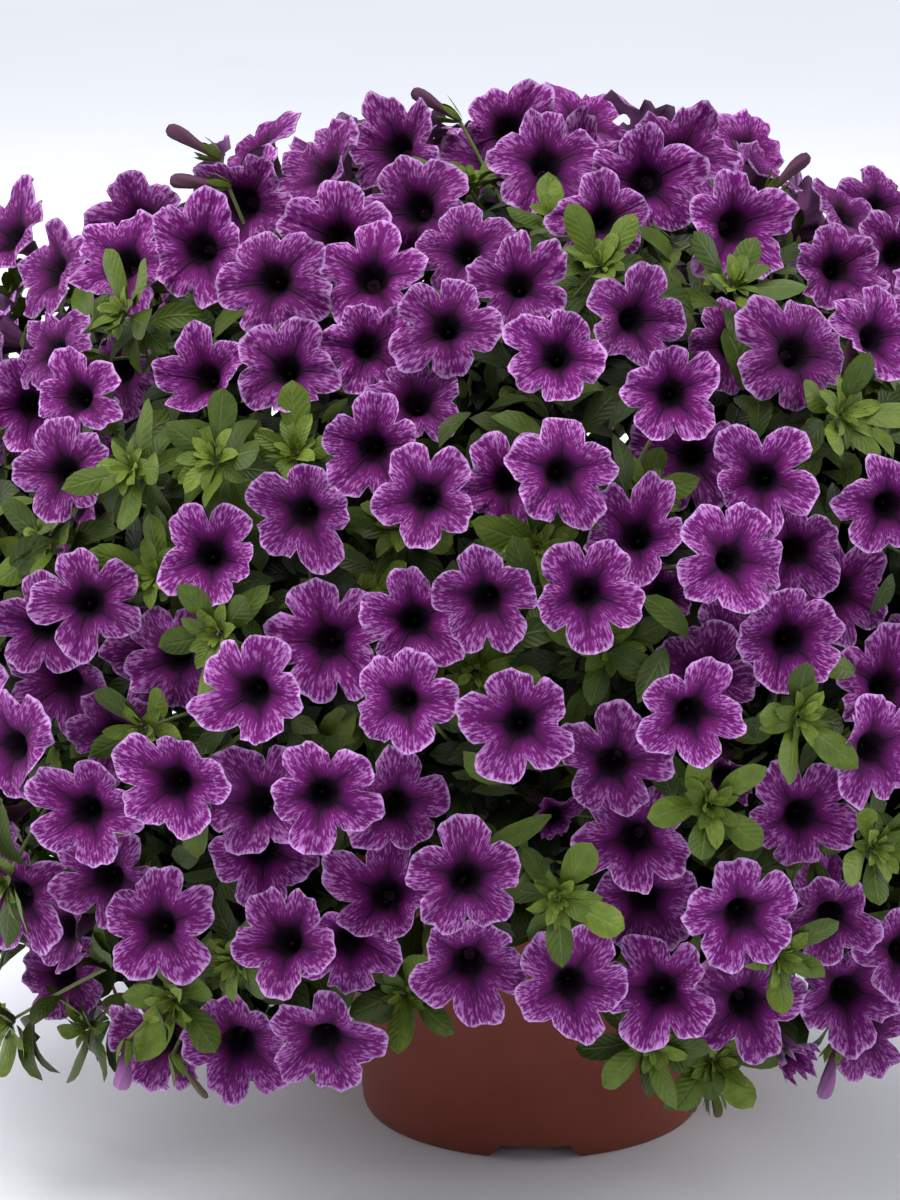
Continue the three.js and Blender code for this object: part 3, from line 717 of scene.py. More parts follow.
def tuft_leaves(tufts):
    """The plain model's own leaves, and then the rings that are added."""
    found = [(tuft, leaf) for tuft in tufts for leaf in tuft["leaves"]]
    own_tufts, blades = zip(*found)
    base, left, tip, right = (column_of(blades, key) for key in ("base", "left", "tip", "right"))
    owner = column_of(own_tufts, "stem")
    width = np.linalg.norm(right - left, axis=-1) * draw.uniform(0.98, 1.12, len(found))
    tip = base + draw.uniform(0.8, 0.98, (len(found), 1)) * (tip - base)
    tone = draw.uniform(0.25, 0.85, len(found))
    own = gather(base, (left + right) / 2, tip, unit(left - right), width, tone, owner)

    centre, axis, stem = (column_of(tufts, key)[:, None] for key in ("centre", "axis", "stem"))
    made = [own]
    for ring in TUFT_RINGS:
        shape = (len(tufts), ring["count"])
        turn = draw.uniform(0, TURN, (shape[0], 1)) + np.arange(shape[1]) * GOLDEN_ANGLE
        out = swung(turn, *across(axis))
        length = draw.uniform(*ring["length"], shape)[..., None] * MM
        climb = draw.uniform(*ring["climb"], shape)[..., None]
        base = centre + ring["rise"] * MM * axis + 1.5 * MM * out
        way, end_way = unit(out + climb * axis), out + (climb - 0.35) * axis
        tone = draw.uniform(*ring["tone"], shape)
        side = np.cross(axis, out)
        made.append(grown(base, way, end_way, side, length, TUFT_LEAF_WIDTH, tone, stem, ring["depth"]))
    return made


# How many loose leaves there are of each kind, and their ranges: depths and lengths in mm.
FILLERS = 5000
FILLER_DEPTH = (17, 95)
FILLER_LENGTH = (17, 31)
HEART_LEAVES = 60
HEART_OUT = (4, 34)
LONG_LEAF = (24, 36)
SKIRT_LEAVES = 800
SKIRT_TOP = (118 * MM, 152 * MM)
SKIRT_LENGTH = (20, 32)
STALK_LEAVES_AT = np.array([0.22, 0.22, 0.45, 0.45])
LONG_STALK = 50 * MM
STALK_LENGTH = (14, 24)
STEM_LEAVES_AT = np.linspace(0.12, 0.95, 22)


def filler_leaves(heart):
    """The dense leaves under the flowers, which fill the mound's outer part."""
    azimuth, polar, _ = even_sites(FILLERS, 0.9)
    depth = draw.uniform(0, 1, FILLERS) ** 1.3
    base = on_mound(polar, azimuth, -np.interp(depth, (0, 1), FILLER_DEPTH) * MM)
    out = outward(base)
    turn = draw.uniform(0, TURN, FILLERS)
    lean = draw.uniform(0.1, 1.0, FILLERS)[:, None]
    way = unit(swung(turn, *across(out)) + lean * out)
    length = draw.uniform(*FILLER_LENGTH, FILLERS)[:, None] * MM
    end_way = way - 0.25 * out + down(0.1)
    width = draw.uniform(0.38, 0.5, FILLERS)
    tone = draw.uniform(0, 0.8, FILLERS)
    side, owner = unit(np.cross(out, way)), nearest(heart, base)
    # Deeper leaves get more painted shade, from 0.3 to 1.
    return grown(base, way, end_way, side, length, width, tone, owner, depth=0.3 + 0.7 * depth)


def heart_leaves(heart):
    """The mass of leaves inside each head, darkened with the most painted shade."""
    shape = (len(heart), HEART_LEAVES)
    out = unit(draw.standard_normal((*shape, 3)))
    base = heart[:, None] + draw.uniform(*HEART_OUT, shape)[..., None] * MM * out
    length = draw.uniform(*LONG_LEAF, shape)[..., None] * MM
    way = unit(out + 0.7 * draw.standard_normal((*shape, 3)))
    side = unit(np.cross(out, way + 0.01))
    tone = draw.uniform(0, 0.5, shape)
    owner = np.arange(len(heart))[:, None]
    return grown(base, way, way + down(0.2), side, length, 0.62, tone, owner, depth=1.0)


def skirt_leaves(heart):
    """Leaves on the underside of the plant, from the pot's lip out to the mound's lower edge."""
    azimuth = np.arange(SKIRT_LEAVES) * GOLDEN_ANGLE
    share = draw.uniform(0, 1, SKIRT_LEAVES)[:, None] ** 0.7
    lip = around(SKIRT_TOP[0], azimuth, SKIRT_TOP[1])
    edge = on_mound(lower_edge(azimuth) - 0.12, azimuth, -22 * MM)
    base = lip + share * (edge - lip) + draw.uniform(-10, 14, (SKIRT_LEAVES, 3)) * MM
    out = around(1.0, azimuth, 0.2)
    way = unit(out + 0.8 * draw.standard_normal(base.shape))
    length = draw.uniform(*SKIRT_LENGTH, SKIRT_LEAVES)[:, None] * MM
    side = unit(np.cross(out, way) + 0.3 * draw.standard_normal(base.shape))
    tone = draw.uniform(0.1, 0.8, SKIRT_LEAVES)
    return grown(base, way, way + down(0.3), side, length, 0.5, tone, nearest(heart, base), depth=0.5)


# Where a loose leaf may not reach, from a flower's centre: over its face, out to this share of the radius,
# and in its throat.
FACE = {"from": -8 * MM, "to": 26 * MM, "reach": 0.98}
INSIDE = {"from": -22 * MM, "to": 0, "reach": 8 * MM}


def kept_clear(leaves, flowers):
    """The leaves that keep out of the space before each flower's face and out of its throat."""
    clear = np.ones(len(leaves["base"]), bool)
    base, middle, tip = leaves["base"], leaves["middle"], leaves["tip"]
    for share in (0.3, LEAF_MIDDLE, 0.8, 1.0):
        early, late = share / LEAF_MIDDLE, (share - LEAF_MIDDLE) / (1 - LEAF_MIDDLE)
        point = base + early * (middle - base) if early < 1 else middle + late * (tip - middle)
        away = point[:, None] - flowers["centre"]
        rise = np.sum(away * flowers["axis"], axis=-1)
        reach = np.sqrt(np.maximum(np.sum(away * away, axis=-1) - rise**2, 0))
        near = reach < FACE["reach"] * flowers["radius"]
        over = near & (rise > FACE["from"]) & (rise < FACE["to"])
        inside = (reach < INSIDE["reach"]) & (rise > INSIDE["from"]) & (rise < INSIDE["to"])
        clear &= ~(over | inside).any(axis=1)
    return chosen(leaves, clear)


def stalk_leaves(tops, stem, heart):
    """Small leaves in pairs along the longer stalks."""
    far = np.linalg.norm(tops - heart[stem], axis=1) > LONG_STALK
    tops, stem = tops[far], stem[far]
    to_heart = (heart[stem] - tops)[:, None]
    turn = draw.uniform(0, 6, (len(tops), 1)) + np.arange(len(STALK_LEAVES_AT)) * 1.7
    out = swung(turn, *across(unit(to_heart)))
    base = tops[:, None] + STALK_LEAVES_AT[:, None] * to_heart
    length = draw.uniform(*STALK_LENGTH, turn.shape)[..., None] * MM
    way = unit(out - 0.6 * unit(to_heart))
    side = np.cross(to_heart, out)
    tone = draw.uniform(0.2, 0.8, turn.shape)
    return grown(base, way, way + down(0.25), side, length, 0.45, tone, stem[:, None], depth=0.35)


def stem_leaves(start, bend, heart):
    """Leaves along the bare part of each stem, over the pot's lip."""
    base = bezier(start, bend, heart, STEM_LEAVES_AT)
    along = bezier_way(start, bend, heart, STEM_LEAVES_AT)
    turn = np.arange(len(STEM_LEAVES_AT)) * GOLDEN_ANGLE + draw.uniform(0, 6, (len(start), 1))
    out = swung(turn, *across(along))
    length = draw.uniform(*LONG_LEAF, turn.shape)[..., None] * MM
    way, end_way = unit(out + 0.7 * along - down(0.25)), out + 0.5 * along - down(0.1)
    side = unit(np.cross(out, along))
    tone = draw.uniform(0.1, 0.7, turn.shape)
    owner = np.arange(len(start))[:, None]
    return grown(base, way, end_way, side, length, 0.38, tone, owner, depth=0.55)


# ---- The plant's pieces ----

# Each flower nods by about this much. Front flowers whose axis and way to the camera have a smaller cosine
# than this are turned to it.
NOD = 0.13
AWAY = 0.4

# The thin stalks, and the thick stems that carry them.
STALK_REACH = 21 * MM
STALK_BEND = 8 * MM
STALK_ROWS, STALK_SIDES = 7, 6
STALK_RADIUS = np.linspace(0.8, 1.2, STALK_ROWS) * MM
STEM_ROWS, STEM_SIDES = 14, 10
STEM_RADIUS = np.linspace(3.2, 2.2, STEM_ROWS + 1) * MM


def as_arrays(flowers, heart):
    """Flowers as arrays, one row each. Each nods a little, and has the heart that its stalk comes from."""
    keys = ("centre", "axis", "notch", "radius", "stem", "front")
    arrays = {key: column_of(flowers, key) for key in keys}
    nod = NOD * draw.standard_normal(arrays["axis"].shape)
    to_camera = unit(np.array(CAMERA["place"]) - arrays["centre"])
    turned_away = arrays["front"] * (np.sum(arrays["axis"] * to_camera, axis=-1) < AWAY)
    axis = unit(arrays["axis"] + nod + TO_CAMERA * turned_away[:, None] * to_camera)
    new = {"axis": axis, "notch": square(arrays["notch"], axis), "heart": heart[arrays["stem"]]}
    return {**arrays, **new}


def stalks(skin, tops, heart):
    """The thin stalks of one head's flowers, tufts and buds, from near its heart."""
    to_heart = heart - tops
    foot = heart - STALK_REACH * unit(to_heart)
    bend = tops + 0.5 * to_heart + draw.uniform(-STALK_BEND, STALK_BEND, tops.shape)
    line = bezier(tops, bend, foot, np.linspace(0, 1, STALK_ROWS))
    tubes(skin, line, STALK_RADIUS, STALK_SIDES, draw.uniform(0, 1, len(tops)))


def plant():
    root, start, bend, heart = grow_stems()
    found, tufts = read_plain_model()
    flowers = as_arrays(found, heart)
    traits = petal_traits(len(found), np.radians(draw.normal(*CLOSED, len(found))))
    more, more_traits = more_flowers(heart, gap_places(flowers, tufts))
    flowers = {key: np.concatenate([flowers[key], more[key]]) for key in more}
    traits = {key: np.concatenate([traits[key], more_traits[key]]) for key in traits}
    buds = bud_places(heart)
    neck, end = tube_ends(flowers)

    tops = np.concatenate([end, column_of(tufts, "centre"), buds["base"]])
    top_stem = np.concatenate([flowers["stem"], column_of(tufts, "stem"), buds["stem"]])

    *fixed, older = tuft_leaves(tufts)
    loose = [older, stem_leaves(start, bend, heart), stalk_leaves(tops, top_stem, heart)]
    inner = [filler_leaves(heart), heart_leaves(heart), skirt_leaves(heart)]
    sepals = [
        calyxes(end, unit(neck - end), flowers["stem"]),
        calyxes(buds["base"], buds["way"], buds["stem"]),
    ]
    loose, inner = ([kept_clear(group, flowers) for group in groups] for groups in (loose, inner))
    leaves = [(group, BROAD_LEAF) for group in [*fixed, *loose]]
    leaves += [(group, PLAIN_LEAF) for group in [*sepals, *inner]]

    petal = [petal_finish(), petal_back_finish(), pollen_finish()]
    leaf = [leaf_finish()]
    stalk = [stem_finish()]
    for stem, node in enumerate(STEM_NODES):
        petals, blades, stems = Skin(), Skin(), Skin()
        mine = flowers["stem"] == stem
        for faces_camera, detail in ((True, FRONT_STEPS), (False, OTHER_STEPS)):
            group = mine & (flowers["front"] == faces_camera)
            flower_skin(petals, chosen(flowers, group), chosen(traits, group), detail)
        if (buds["stem"] == stem).any():
            bud_skin(petals, chosen(buds, buds["stem"] == stem))
        for group, grid in leaves:
            blade_skin(blades, chosen(group, group["owner"] == stem), grid)
        stalks(stems, tops[top_stem == stem], heart[stem])
        arch = bezier(start[stem], bend[stem], heart[stem], np.linspace(0, 1, STEM_ROWS))
        tubes(stems, np.concatenate([root[[stem]], arch])[None], STEM_RADIUS, STEM_SIDES, 0.5)
        number = node[-2:]
        petals.piece(f"petals_{number}", "petals", petal, [node])
        blades.piece(f"leaves_{number}", "leaves", leaf, [node])
        stems.piece(f"stems_{number}", "stems", stalk, [node])


# ---- Pot and soil ----

POT_HEIGHT = 150 * MM
POT_FOOT = 82 * MM
POT_SHOULDER = (99.5 * MM, 138 * MM)
POT_LIP = 107.5 * MM
POT_WALL = 2.2 * MM
POT_SIDES = 144
INNER_FLOOR = 30 * MM
WALL_RINGS = 9
SHARP = math.radians(32)

# The pot's rounded edges: mm out and up from the corner of the foot, the shoulder, the lip's underside, the
# lip's top and the inner rim.
FOOT_EDGE = [(-2.6, 0), (-0.9, 0.7), (0, 2.2)]
SHOULDER_EDGE = [(0.8, -0.3)]
UNDER_LIP = [(-1.6, 0.4), (-0.7, 1.4)]
LIP_TOP = [(0, -2.2), (-0.6, -0.6), (-1.8, 0)]
INNER_RIM = [(0.8, 0), (0, -0.8)]

GROOVES = 3
GROOVE = {"base": 46 * MM, "top": 33 * MM, "height": 7 * MM, "from": 36 * MM, "to": 120 * MM}
DRAIN = {"radius": 5 * MM, "at": 52 * MM, "depth": 12 * MM, "sides": 24}

SOIL_GAP = 0.3 * MM
SOIL_RINGS, SOIL_SIDES = 46, 150
CRUMBS = ((9 * MM, 2.2), (3.2 * MM, 1.3))
CRUMB_SINK = 1.5


def lathe(name, profile, sides):
    """A closed solid of revolution, from radii and heights that start and end on the axis."""
    rings = profile[1:-1]
    turn = np.arange(sides) * TURN / sides
    points = [(0, 0, profile[0][1]), (0, 0, profile[-1][1])]
    for radius, height in rings:
        points += around(radius, turn, height).tolist()
    corner = lambda ring, side: 2 + ring * sides + side % sides
    faces = []
    for side in range(sides):
        faces.append((0, corner(0, side + 1), corner(0, side)))
        faces.append((1, corner(len(rings) - 1, side), corner(len(rings) - 1, side + 1)))
        for ring in range(len(rings) - 1):
            low = corner(ring, side), corner(ring, side + 1)
            high = corner(ring + 1, side + 1), corner(ring + 1, side)
            faces.append((*low, *high))
    return solid(name, points, faces)


def groove_cutter(index):
    """The bar with sloping sides that cuts a drain groove under the foot."""
    half, top = GROOVE["base"] / 2, GROOVE["top"] / 2
    section = [(-half, -MM), (half, -MM), (top, GROOVE["height"]), (-top, GROOVE["height"])]
    points = [(x, -reach, z) for reach in (GROOVE["from"], GROOVE["to"]) for x, z in section]
    faces = [(0, 1, 2, 3), (7, 6, 5, 4), (0, 4, 5, 1), (1, 5, 6, 2), (2, 6, 7, 3), (3, 7, 4, 0)]
    cutter = solid("groove", points, [face[::-1] for face in faces])
    cutter.rotation_euler.z = index * TURN / GROOVES
    return cutter


def drain_cutter(index):
    radius, depth = DRAIN["radius"], DRAIN["depth"]
    hole = lathe("drain", [(0, -MM), (radius, -MM), (radius, depth), (0, depth)], DRAIN["sides"])
    hole.location = around(DRAIN["at"], index * TURN / GROOVES, 0).tolist()
    return hole


def cut(piece, cutters):
    """Cuts solids out of a piece, and removes the solids."""
    shown = bpy.context.scene.collection.objects
    shown.link(piece)
    for cutter in cutters:
        shown.link(cutter)
        step = piece.modifiers.new("cut", "BOOLEAN")
        step.operation = "DIFFERENCE"
        step.solver = "EXACT"
        step.object = cutter
    bpy.context.view_layer.update()
    result = piece.evaluated_get(bpy.context.evaluated_depsgraph_get())
    shape = bpy.data.meshes.new_from_object(result)
    piece.modifiers.clear()
    piece.data = shape
    for cutter in cutters:
        bpy.data.objects.remove(cutter)
    shown.unlink(piece)


def wall_at(height):
    """The radius of the pot's outer wall."""
    shoulder, shoulder_height = POT_SHOULDER
    return POT_FOOT + (shoulder - POT_FOOT) * height / shoulder_height


def rounded(radius, height, steps):
    return [(radius + out * MM, height + up * MM) for out, up in steps]


def pot():
    """The moulded pot: a flat foot, a tapered wall, a rolled lip and drain grooves under it."""
    shoulder, shoulder_height = POT_SHOULDER
    heights = np.linspace(4 * MM, shoulder_height - 1.5 * MM, WALL_RINGS)
    profile = [
        (0, 0),
        *rounded(POT_FOOT, 0, FOOT_EDGE),
        *((wall_at(height), height) for height in heights),
        *rounded(shoulder, shoulder_height, SHOULDER_EDGE),
        *rounded(POT_LIP, shoulder_height, UNDER_LIP),
        *rounded(POT_LIP, POT_HEIGHT, LIP_TOP),
        *rounded(wall_at(POT_HEIGHT) - POT_WALL, POT_HEIGHT, INNER_RIM),
        (wall_at(INNER_FLOOR) - POT_WALL, INNER_FLOOR),
        (0, INNER_FLOOR),
    ]
    made = lathe("pot_shell", profile, POT_SIDES)
    cut(made, [cutter(index) for cutter in (groove_cutter, drain_cutter) for index in range(GROOVES)])
    made.data.materials.clear()
    made.data.materials.append(pot_finish())
    seat(made, ["pot"])
    made.data.set_sharp_from_angle(angle=SHARP)


def soil():
    """The crumbly top of the potting soil, in the pot from its inner floor up."""
    low, high = INNER_FLOOR + MM, SOIL_TOP - 2 * MM
    bottom, rim = (wall_at(height) - POT_WALL - SOIL_GAP for height in (low, high))
    top = [(radius, SOIL_TOP) for radius in np.linspace(rim - 1.5 * MM, 2 * MM, SOIL_RINGS)]
    profile = [(0, low), (bottom, low), (rim, high), *top, (0, SOIL_TOP)]
    made = lathe("soil_top", profile, SOIL_SIDES)
    for vertex in made.data.vertices:
        if vertex.co.z > high + MM:
            crumbs = sum(tall * noise.noise(vertex.co / size) for size, tall in CRUMBS)
            vertex.co.z += (crumbs - CRUMB_SINK) * MM
    made.data.materials.append(soil_finish())
    seat(made, ["potting_soil"])


# ---- Finishes: procedural materials ----


class Finish:
    """A material's nodes, added and linked by short calls."""

    def __init__(self, name, roughness, specular):
        self.material = bpy.data.materials.new(name)
        self.material.use_nodes = True
        self.tree = self.material.node_tree
        self.shader = self.tree.nodes["Principled BSDF"]
        self.shader.inputs["Roughness"].default_value = roughness
        self.shader.inputs["Specular IOR Level"].default_value = specular

    def put(self, socket, value):
        if isinstance(value, bpy.types.NodeSocket):
            self.tree.links.new(value, socket)
        else:
            socket.default_value = value

    def node(self, kind, inputs, **settings):
        made = self.tree.nodes.new(kind)
        for name, value in settings.items():
            setattr(made, name, value)
        for socket, value in inputs.items():
            self.put(made.inputs[socket], value)
        return made

    def math(self, operation, *values):
        return self.node("ShaderNodeMath", dict(enumerate(values)), operation=operation).outputs[0]

    def step(self, value, low, high, to_low=0.0, to_high=1.0):
        """An eased step: to_low where the value is at or under low, and to_high at or over high."""
        inputs = {0: value, 1: low, 2: high, 3: to_low, 4: to_high}
        return self.node("ShaderNodeMapRange", inputs, interpolation_type="SMOOTHSTEP").outputs[0]

    def noise(self, x, y, z, detail=2.0, roughness=0.5):
        place = self.node("ShaderNodeCombineXYZ", {0: x, 1: y, 2: z}).outputs[0]
        inputs = {"Vector": place, "Scale": 1.0, "Detail": detail, "Roughness": roughness}
        return self.node("ShaderNodeTexNoise", inputs).outputs["Fac"]

    def mottle(self, size, detail=2.0):
        """Noise fixed to the object, whose blotches are about this size in metres."""
        place = self.node("ShaderNodeTexCoord", {}).outputs["Object"]
        inputs = {"Vector": place, "Scale": 1 / size, "Detail": detail}
        return self.node("ShaderNodeTexNoise", inputs).outputs["Fac"]

    def ramp(self, value, stops):
        """Colours between stops, each a place and its red, green and blue."""
        made = self.node("ShaderNodeValToRGB", {0: value})
        points = made.color_ramp.elements
        while len(points) < len(stops):
            points.new(1.0)
        for point, (place, *colour) in zip(points, stops):
            point.position = place
            point.color = (*colour, 1)
        return made.outputs[0]

    def mix(self, share, first, second, blend="MIX"):
        made = self.node("ShaderNodeMix", {}, data_type="RGBA", blend_type=blend)
        self.put(made.inputs[0], share)
        for socket, colour in ((made.inputs[6], first), (made.inputs[7], second)):
            self.put(socket, (*colour, 1) if isinstance(colour, tuple) else colour)
        return made.outputs[2]

    def shade(self, colour, amount):
        """The colour times a number."""
        grey = self.node("ShaderNodeCombineXYZ", {0: amount, 1: amount, 2: amount}).outputs[0]
        return self.mix(1, colour, grey, blend="MULTIPLY")

    def attribute(self, name):
        return self.node("ShaderNodeAttribute", {}, attribute_name=name).outputs["Fac"]

    def map(self):
        place = self.node("ShaderNodeUVMap", {}, uv_map="Map").outputs[0]
        split = self.node("ShaderNodeSeparateXYZ", {0: place})
        return split.outputs[0], split.outputs[1]

    def done(self, colour, height, relief):
        """Sets the colour and the bumps, this deep, and hands over the material."""
        bump = self.node("ShaderNodeBump", {"Height": height, "Distance": relief, "Strength": 1})
        self.put(self.shader.inputs["Base Color"], colour)
        self.put(self.shader.inputs["Normal"], bump.outputs[0])
        return self.material


def petal_finish():
    """Near black in the throat, with rays along the lobes, then purple under a net of pale veins."""
    finish = Finish("petal", roughness=0.7, specular=0.12)
    turn, reach = finish.map()
    tone = finish.attribute("tone")
    seed = finish.math("MULTIPLY", tone, 91.0)
    phase = finish.math("FRACT", turn)
    side = finish.math("ABSOLUTE", finish.math("MULTIPLY_ADD", phase, 2.0, -1.0))
    wander = finish.noise(finish.math("MULTIPLY", turn, 3.0), reach, seed)
    wander = finish.math("SUBTRACT", wander, 0.5)
    ray = finish.math("POWER", finish.math("SUBTRACT", 1.0, side), 3.0)
    level = finish.math("SUBTRACT", reach, finish.math("MULTIPLY", ray, 0.07))
    level = finish.math("MULTIPLY_ADD", wander, 0.1, level)
    ground = finish.ramp(level, [
        (0.0, 0.004, 0.0015, 0.005),
        (0.225, 0.005, 0.0015, 0.006),
        (0.265, 0.034, 0.002, 0.031),
        (0.36, 0.078, 0.003, 0.072),
        (0.5, 0.110, 0.004, 0.100),
        (0.8, 0.122, 0.005, 0.113),
        (1.0, 0.135, 0.012, 0.130),
    ])
    rays = finish.math("MULTIPLY", ray, finish.step(reach, 0.25, 0.85, 0.85, 0.0))
    ground = finish.mix(rays, ground, (0.022, 0.0015, 0.021))
    fan = finish.math("MULTIPLY_ADD", wander, 0.8, finish.math("MULTIPLY", turn, 26.0))
    streak = finish.noise(fan, finish.math("MULTIPLY", reach, 7.5), seed, detail=2.5, roughness=0.6)
    beside = finish.step(side, 0.0, 0.6, 0.4, 0.9)
    dense = finish.math("MULTIPLY", finish.step(reach, 0.28, 0.95), beside)
    start = finish.math("MULTIPLY_ADD", dense, -0.12, 0.55)
    veins = finish.math("MULTIPLY", finish.math("SUBTRACT", streak, start), 7.0)
    veins = finish.node("ShaderNodeClamp", {0: veins}).outputs[0]
    veins = finish.math("MULTIPLY", veins, finish.step(dense, 0.0, 0.35, 0.0, 0.75))
    colour = finish.mix(veins, ground, finish.mix(reach, (0.24, 0.045, 0.24), (0.46, 0.19, 0.50)))
    edge = finish.math("MULTIPLY_ADD", finish.math("SUBTRACT", streak, 0.5), 0.25, reach)
    margin = finish.step(edge, 0.91, 1.01, 0.0, 0.9)
    colour = finish.mix(margin, colour, (0.55, 0.30, 0.62))
    colour = finish.shade(colour, finish.step(tone, 0.0, 1.0, 0.78, 1.08))
    rib = finish.math("MULTIPLY_ADD", finish.step(side, 0.0, 0.14, 1.0, 0.0), -1.2, streak)
    return finish.done(colour, rib, relief=0.5 * MM)


def petal_back_finish():
    """Dull mauve with darker veins, paler towards the rim, partly the backs' own colour and partly painted
    light for light shining through the thin petals; and a dark brownish purple along the tube.
    """
    finish = Finish("petal_back", roughness=0.75, specular=0.12)
    turn, reach = finish.map()
    tone = finish.attribute("tone")
    # Paler towards the rim: partly the backs' own colour, partly painted light for light shining through the
    # thin petals.
    ground = finish.ramp(reach, [
        (0.0, 0.12, 0.12, 0.05),
        (0.05, 0.10, 0.05, 0.06),
        (0.2, 0.085, 0.03, 0.07),
        (0.42, 0.18, 0.065, 0.18),
        (0.8, 0.31, 0.14, 0.32),
        (1.0, 0.50, 0.29, 0.53),
    ])
    fan, far = finish.math("MULTIPLY", turn, 10.0), finish.math("MULTIPLY", reach, 2.4)
    streak = finish.noise(fan, far, tone, detail=3.0)
    colour = finish.mix(finish.step(streak, 0.5, 0.7, 0.0, 0.5), ground, (0.07, 0.015, 0.07))
    return finish.done(colour, streak, relief=0.3 * MM)


def pollen_finish():
    finish = Finish("pollen", roughness=0.8, specular=0.2)
    # Near black: partly the pollen's own dark brown, partly painted shade of the deep throat.
    colour = finish.mix(finish.mottle(0.4 * MM), (0.004, 0.002, 0.004), (0.012, 0.009, 0.01))
    return finish.done(colour, finish.mottle(0.3 * MM), relief=0.2 * MM)


def leaf_finish():
    """Fresh green with a pale midrib and faint side veins. Leaves deep in the plant are darker with painted
    shade.
    """
    finish = Finish("leaf", roughness=0.5, specular=0.22)
    width, along = finish.map()
    tone, depth = finish.attribute("tone"), finish.attribute("depth")
    side = finish.math("ABSOLUTE", finish.math("MULTIPLY_ADD", width, 2.0, -1.0))
    scales = ((width, 3.0), (along, 5.0), (tone, 60.0))
    blotch = finish.noise(*(finish.math("MULTIPLY", value, scale) for value, scale in scales))
    level = finish.math("MULTIPLY_ADD", finish.math("SUBTRACT", blotch, 0.5), 0.5, tone)
    ground = finish.ramp(level, [
        (0.0, 0.017, 0.030, 0.003),
        (0.4, 0.040, 0.067, 0.005),
        (0.75, 0.082, 0.125, 0.010),
        (1.0, 0.15, 0.205, 0.028),
    ])
    slant = finish.math("MULTIPLY", side, -14.0)
    ribs = finish.math("SINE", finish.math("MULTIPLY_ADD", along, 46.0, slant))
    colour = finish.mix(finish.step(ribs, 0.75, 1.0, 0.0, 0.1), ground, (0.13, 0.18, 0.03))
    colour = finish.mix(finish.step(side, 0.1, 0.0, 0.0, 0.25), colour, (0.16, 0.21, 0.06))
    # Painted shade: the colour darkens with the leaf's depth attribute, down to 0.11 for the deepest leaves.
    colour = finish.shade(colour, finish.step(depth, 0.1, 0.9, 1.0, 0.11))
    relief = finish.math("MULTIPLY_ADD", ribs, 0.25, finish.step(side, 0.14, 0.0, 0.0, -1.0))
    return finish.done(colour, relief, relief=0.25 * MM)


def stem_finish():
    """Pale, finely hairy green."""
    finish = Finish("stem", roughness=0.6, specular=0.3)
    tone = finish.attribute("tone")
    level = finish.mottle(6 * MM), 0.6, finish.math("MULTIPLY", tone, 0.5)
    level = finish.math("MULTIPLY_ADD", *level)
    stops = [(0.1, 0.06, 0.085, 0.022), (0.5, 0.12, 0.15, 0.045), (0.9, 0.18, 0.2, 0.08)]
    colour = finish.ramp(level, stops)
    return finish.done(colour, finish.mottle(0.6 * MM), relief=0.15 * MM)


def pot_finish():
    """Matte terracotta-brown plastic, faintly mottled and darker towards the foot."""
    finish = Finish("pot_plastic", roughness=0.5, specular=0.25)
    place = finish.node("ShaderNodeTexCoord", {}).outputs["Object"]
    height = finish.node("ShaderNodeSeparateXYZ", {0: place}).outputs[2]
    blotch = finish.mottle(30 * MM, detail=5.0)
    colour = finish.ramp(blotch, [(0.3, 0.165, 0.033, 0.019), (0.7, 0.2, 0.042, 0.026)])
    grain = finish.mottle(1.2 * MM, detail=3.0)
    colour = finish.mix(finish.step(grain, 0.62, 0.8, 0.0, 0.25), colour, (0.22, 0.07, 0.05))
    # Darker towards the foot, within the lowest 12 mm.
    colour = finish.mix(finish.step(height, 0.012, 0.0, 0.0, 0.3), colour, (0.09, 0.035, 0.025))
    finish.put(finish.shader.inputs["Roughness"], finish.step(blotch, 0.3, 0.7, 0.44, 0.58))
    return finish.done(colour, grain, relief=0.12 * MM)


def soil_finish():
    """Dark brown crumbs with a few pale specks."""
    finish = Finish("soil", roughness=0.95, specular=0.15)
    crumbs = finish.mottle(2.5 * MM, detail=5.0)
    stops = [(0.3, 0.006, 0.004, 0.003), (0.55, 0.03, 0.018, 0.011), (0.75, 0.07, 0.045, 0.03)]
    colour = finish.ramp(crumbs, stops)
    specks = finish.step(finish.mottle(1.6 * MM), 0.72, 0.78, 0.0, 0.8)
    return finish.done(finish.mix(specks, colour, (0.4, 0.37, 0.33)), crumbs, relief=2 * MM)


def studio_finish():
    """The smooth pale floor, with painted light: far from the pot it glows, brightening into an endless
    white.
    """
    finish = Finish("studio", roughness=0.9, specular=0.2)
    place = finish.node("ShaderNodeTexCoord", {}).outputs["Object"]
    reach = finish.node("ShaderNodeVectorMath", {0: place}, operation="LENGTH").outputs["Value"]
    stops = [(0.3, 0.88, 0.89, 0.93), (0.7, 0.92, 0.93, 0.97)]
    colour = finish.ramp(finish.mottle(0.35, detail=3.0), stops)
    # Painted light: the floor's glow rises with the distance from the pot.
    glow = finish.step(reach, FLOOR["near"], FLOOR["far"], 0.0, FLOOR["glow"])
    finish.put(finish.shader.inputs["Emission Color"], (0.95, 0.97, 1.0, 1))
    finish.put(finish.shader.inputs["Emission Strength"], glow)
    finish.material.cycles.emission_sampling = "NONE"
    return finish.done(colour, finish.mottle(8 * MM, detail=3.0), relief=0.1 * MM)


# ---- Floor, light and camera ----

# The floor's half width, and from where and to where its glow rises, in metres, and the glow's strength:
# painted light on the floor far from the pot.
FLOOR = {"half_width": 30.0, "near": 0.4, "far": 3.0, "glow": 0.45}

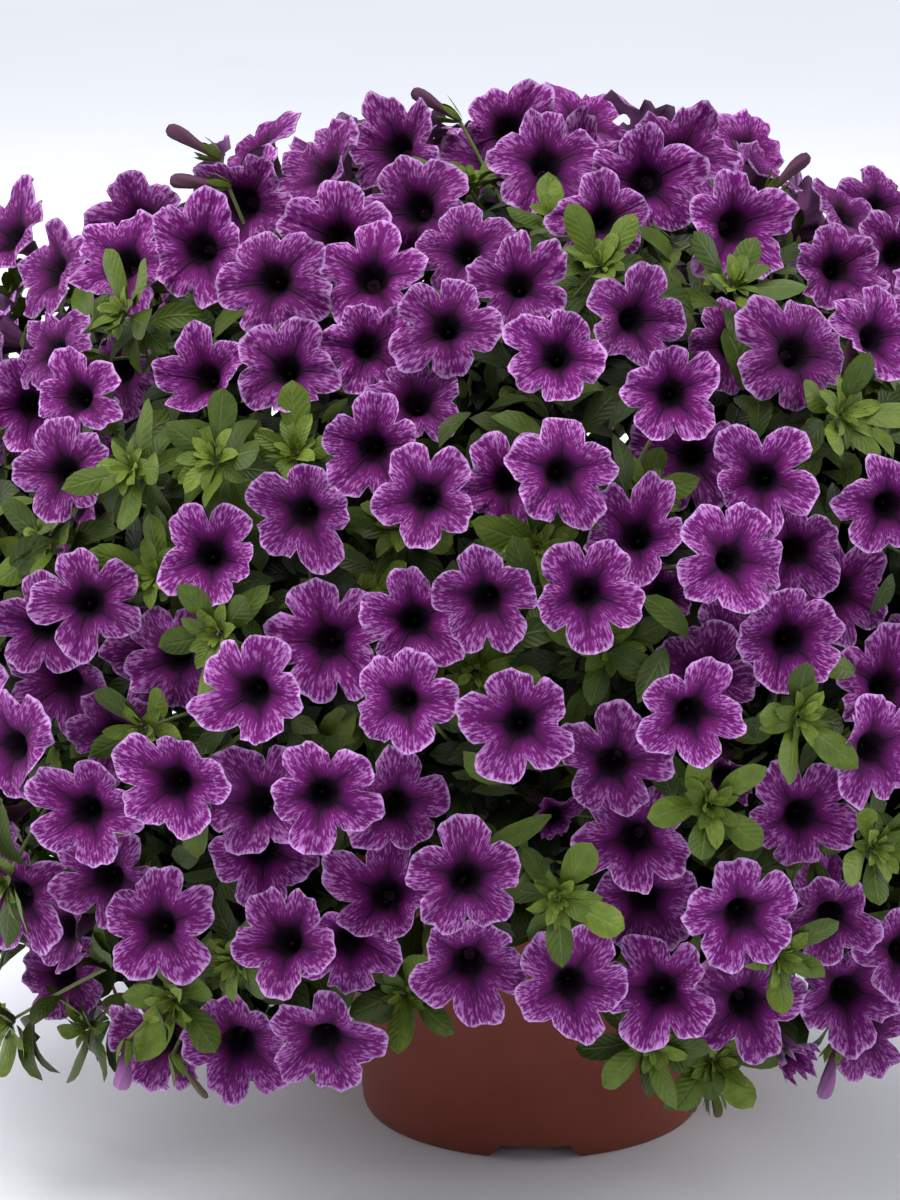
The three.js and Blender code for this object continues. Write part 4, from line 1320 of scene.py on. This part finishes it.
# Square lamps: the place, the size in metres, the power in watts and the colour.
LIGHTS = {
    "overhead": ((-0.45, -0.7, 2.3), 1.4, 46, (1.0, 0.99, 0.97)),
    "front_left": ((-1.7, -1.9, 1.9), 1.4, 23, (1.0, 0.99, 0.98)),
    "front_right": ((1.9, -1.7, 1.6), 1.6, 17, (0.97, 0.98, 1.0)),
    "back": ((0.3, 1.9, 2.2), 1.8, 22, (0.97, 0.98, 1.0)),
    "low_left": ((-2.4, 0.4, 1.0), 1.2, 26, (1.0, 1.0, 1.0)),
    "low_right": ((2.4, 0.4, 1.0), 1.2, 28, (1.0, 1.0, 1.0)),
}
LIGHT_AIM = Vector((0, 0, 0.25))
WORLD = {"Color": (0.86, 0.9, 1.0, 1), "Strength": 0.45}


def studio():
    """A pale floor that reaches past every view."""
    half = FLOOR["half_width"]
    corners = [(-half, -half, 0), (half, -half, 0), (half, half, 0), (-half, half, 0)]
    made = solid("studio", corners, [(0, 1, 2, 3)])
    made.data.materials.append(studio_finish())
    bpy.context.scene.collection.objects.link(made)
    made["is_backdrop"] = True


def lights():
    for name, (place, size, power, colour) in LIGHTS.items():
        lamp = bpy.data.lights.new(name, "AREA")
        lamp.size = size
        lamp.energy = power
        lamp.color = colour
        holder = show(name, lamp)
        holder.location = place
        holder.rotation_euler = (LIGHT_AIM - Vector(place)).to_track_quat("-Z", "Y").to_euler()
    world = bpy.data.worlds.new("studio")
    world.use_nodes = True
    background = world.node_tree.nodes["Background"]
    for socket, value in WORLD.items():
        background.inputs[socket].default_value = value
    bpy.context.scene.world = world
    bpy.context.scene.view_settings.view_transform = "Standard"


def camera():
    lens = bpy.data.cameras.new("camera")
    lens.lens = CAMERA["focal_length"]
    lens.sensor_width = CAMERA["sensor"]
    lens.sensor_fit = "AUTO"
    lens.clip_end = 50
    holder = show("camera", lens)
    holder.location = CAMERA["place"]
    holder.rotation_euler = (math.radians(90 - CAMERA["pitch"]), 0, 0)
    bpy.context.scene.camera = holder


camera()
plant()
pot()
soil()
studio()
lights()

sizes = {"cad": [list(corner) for corner in cad_box], "visual": [list(corner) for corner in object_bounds()]}
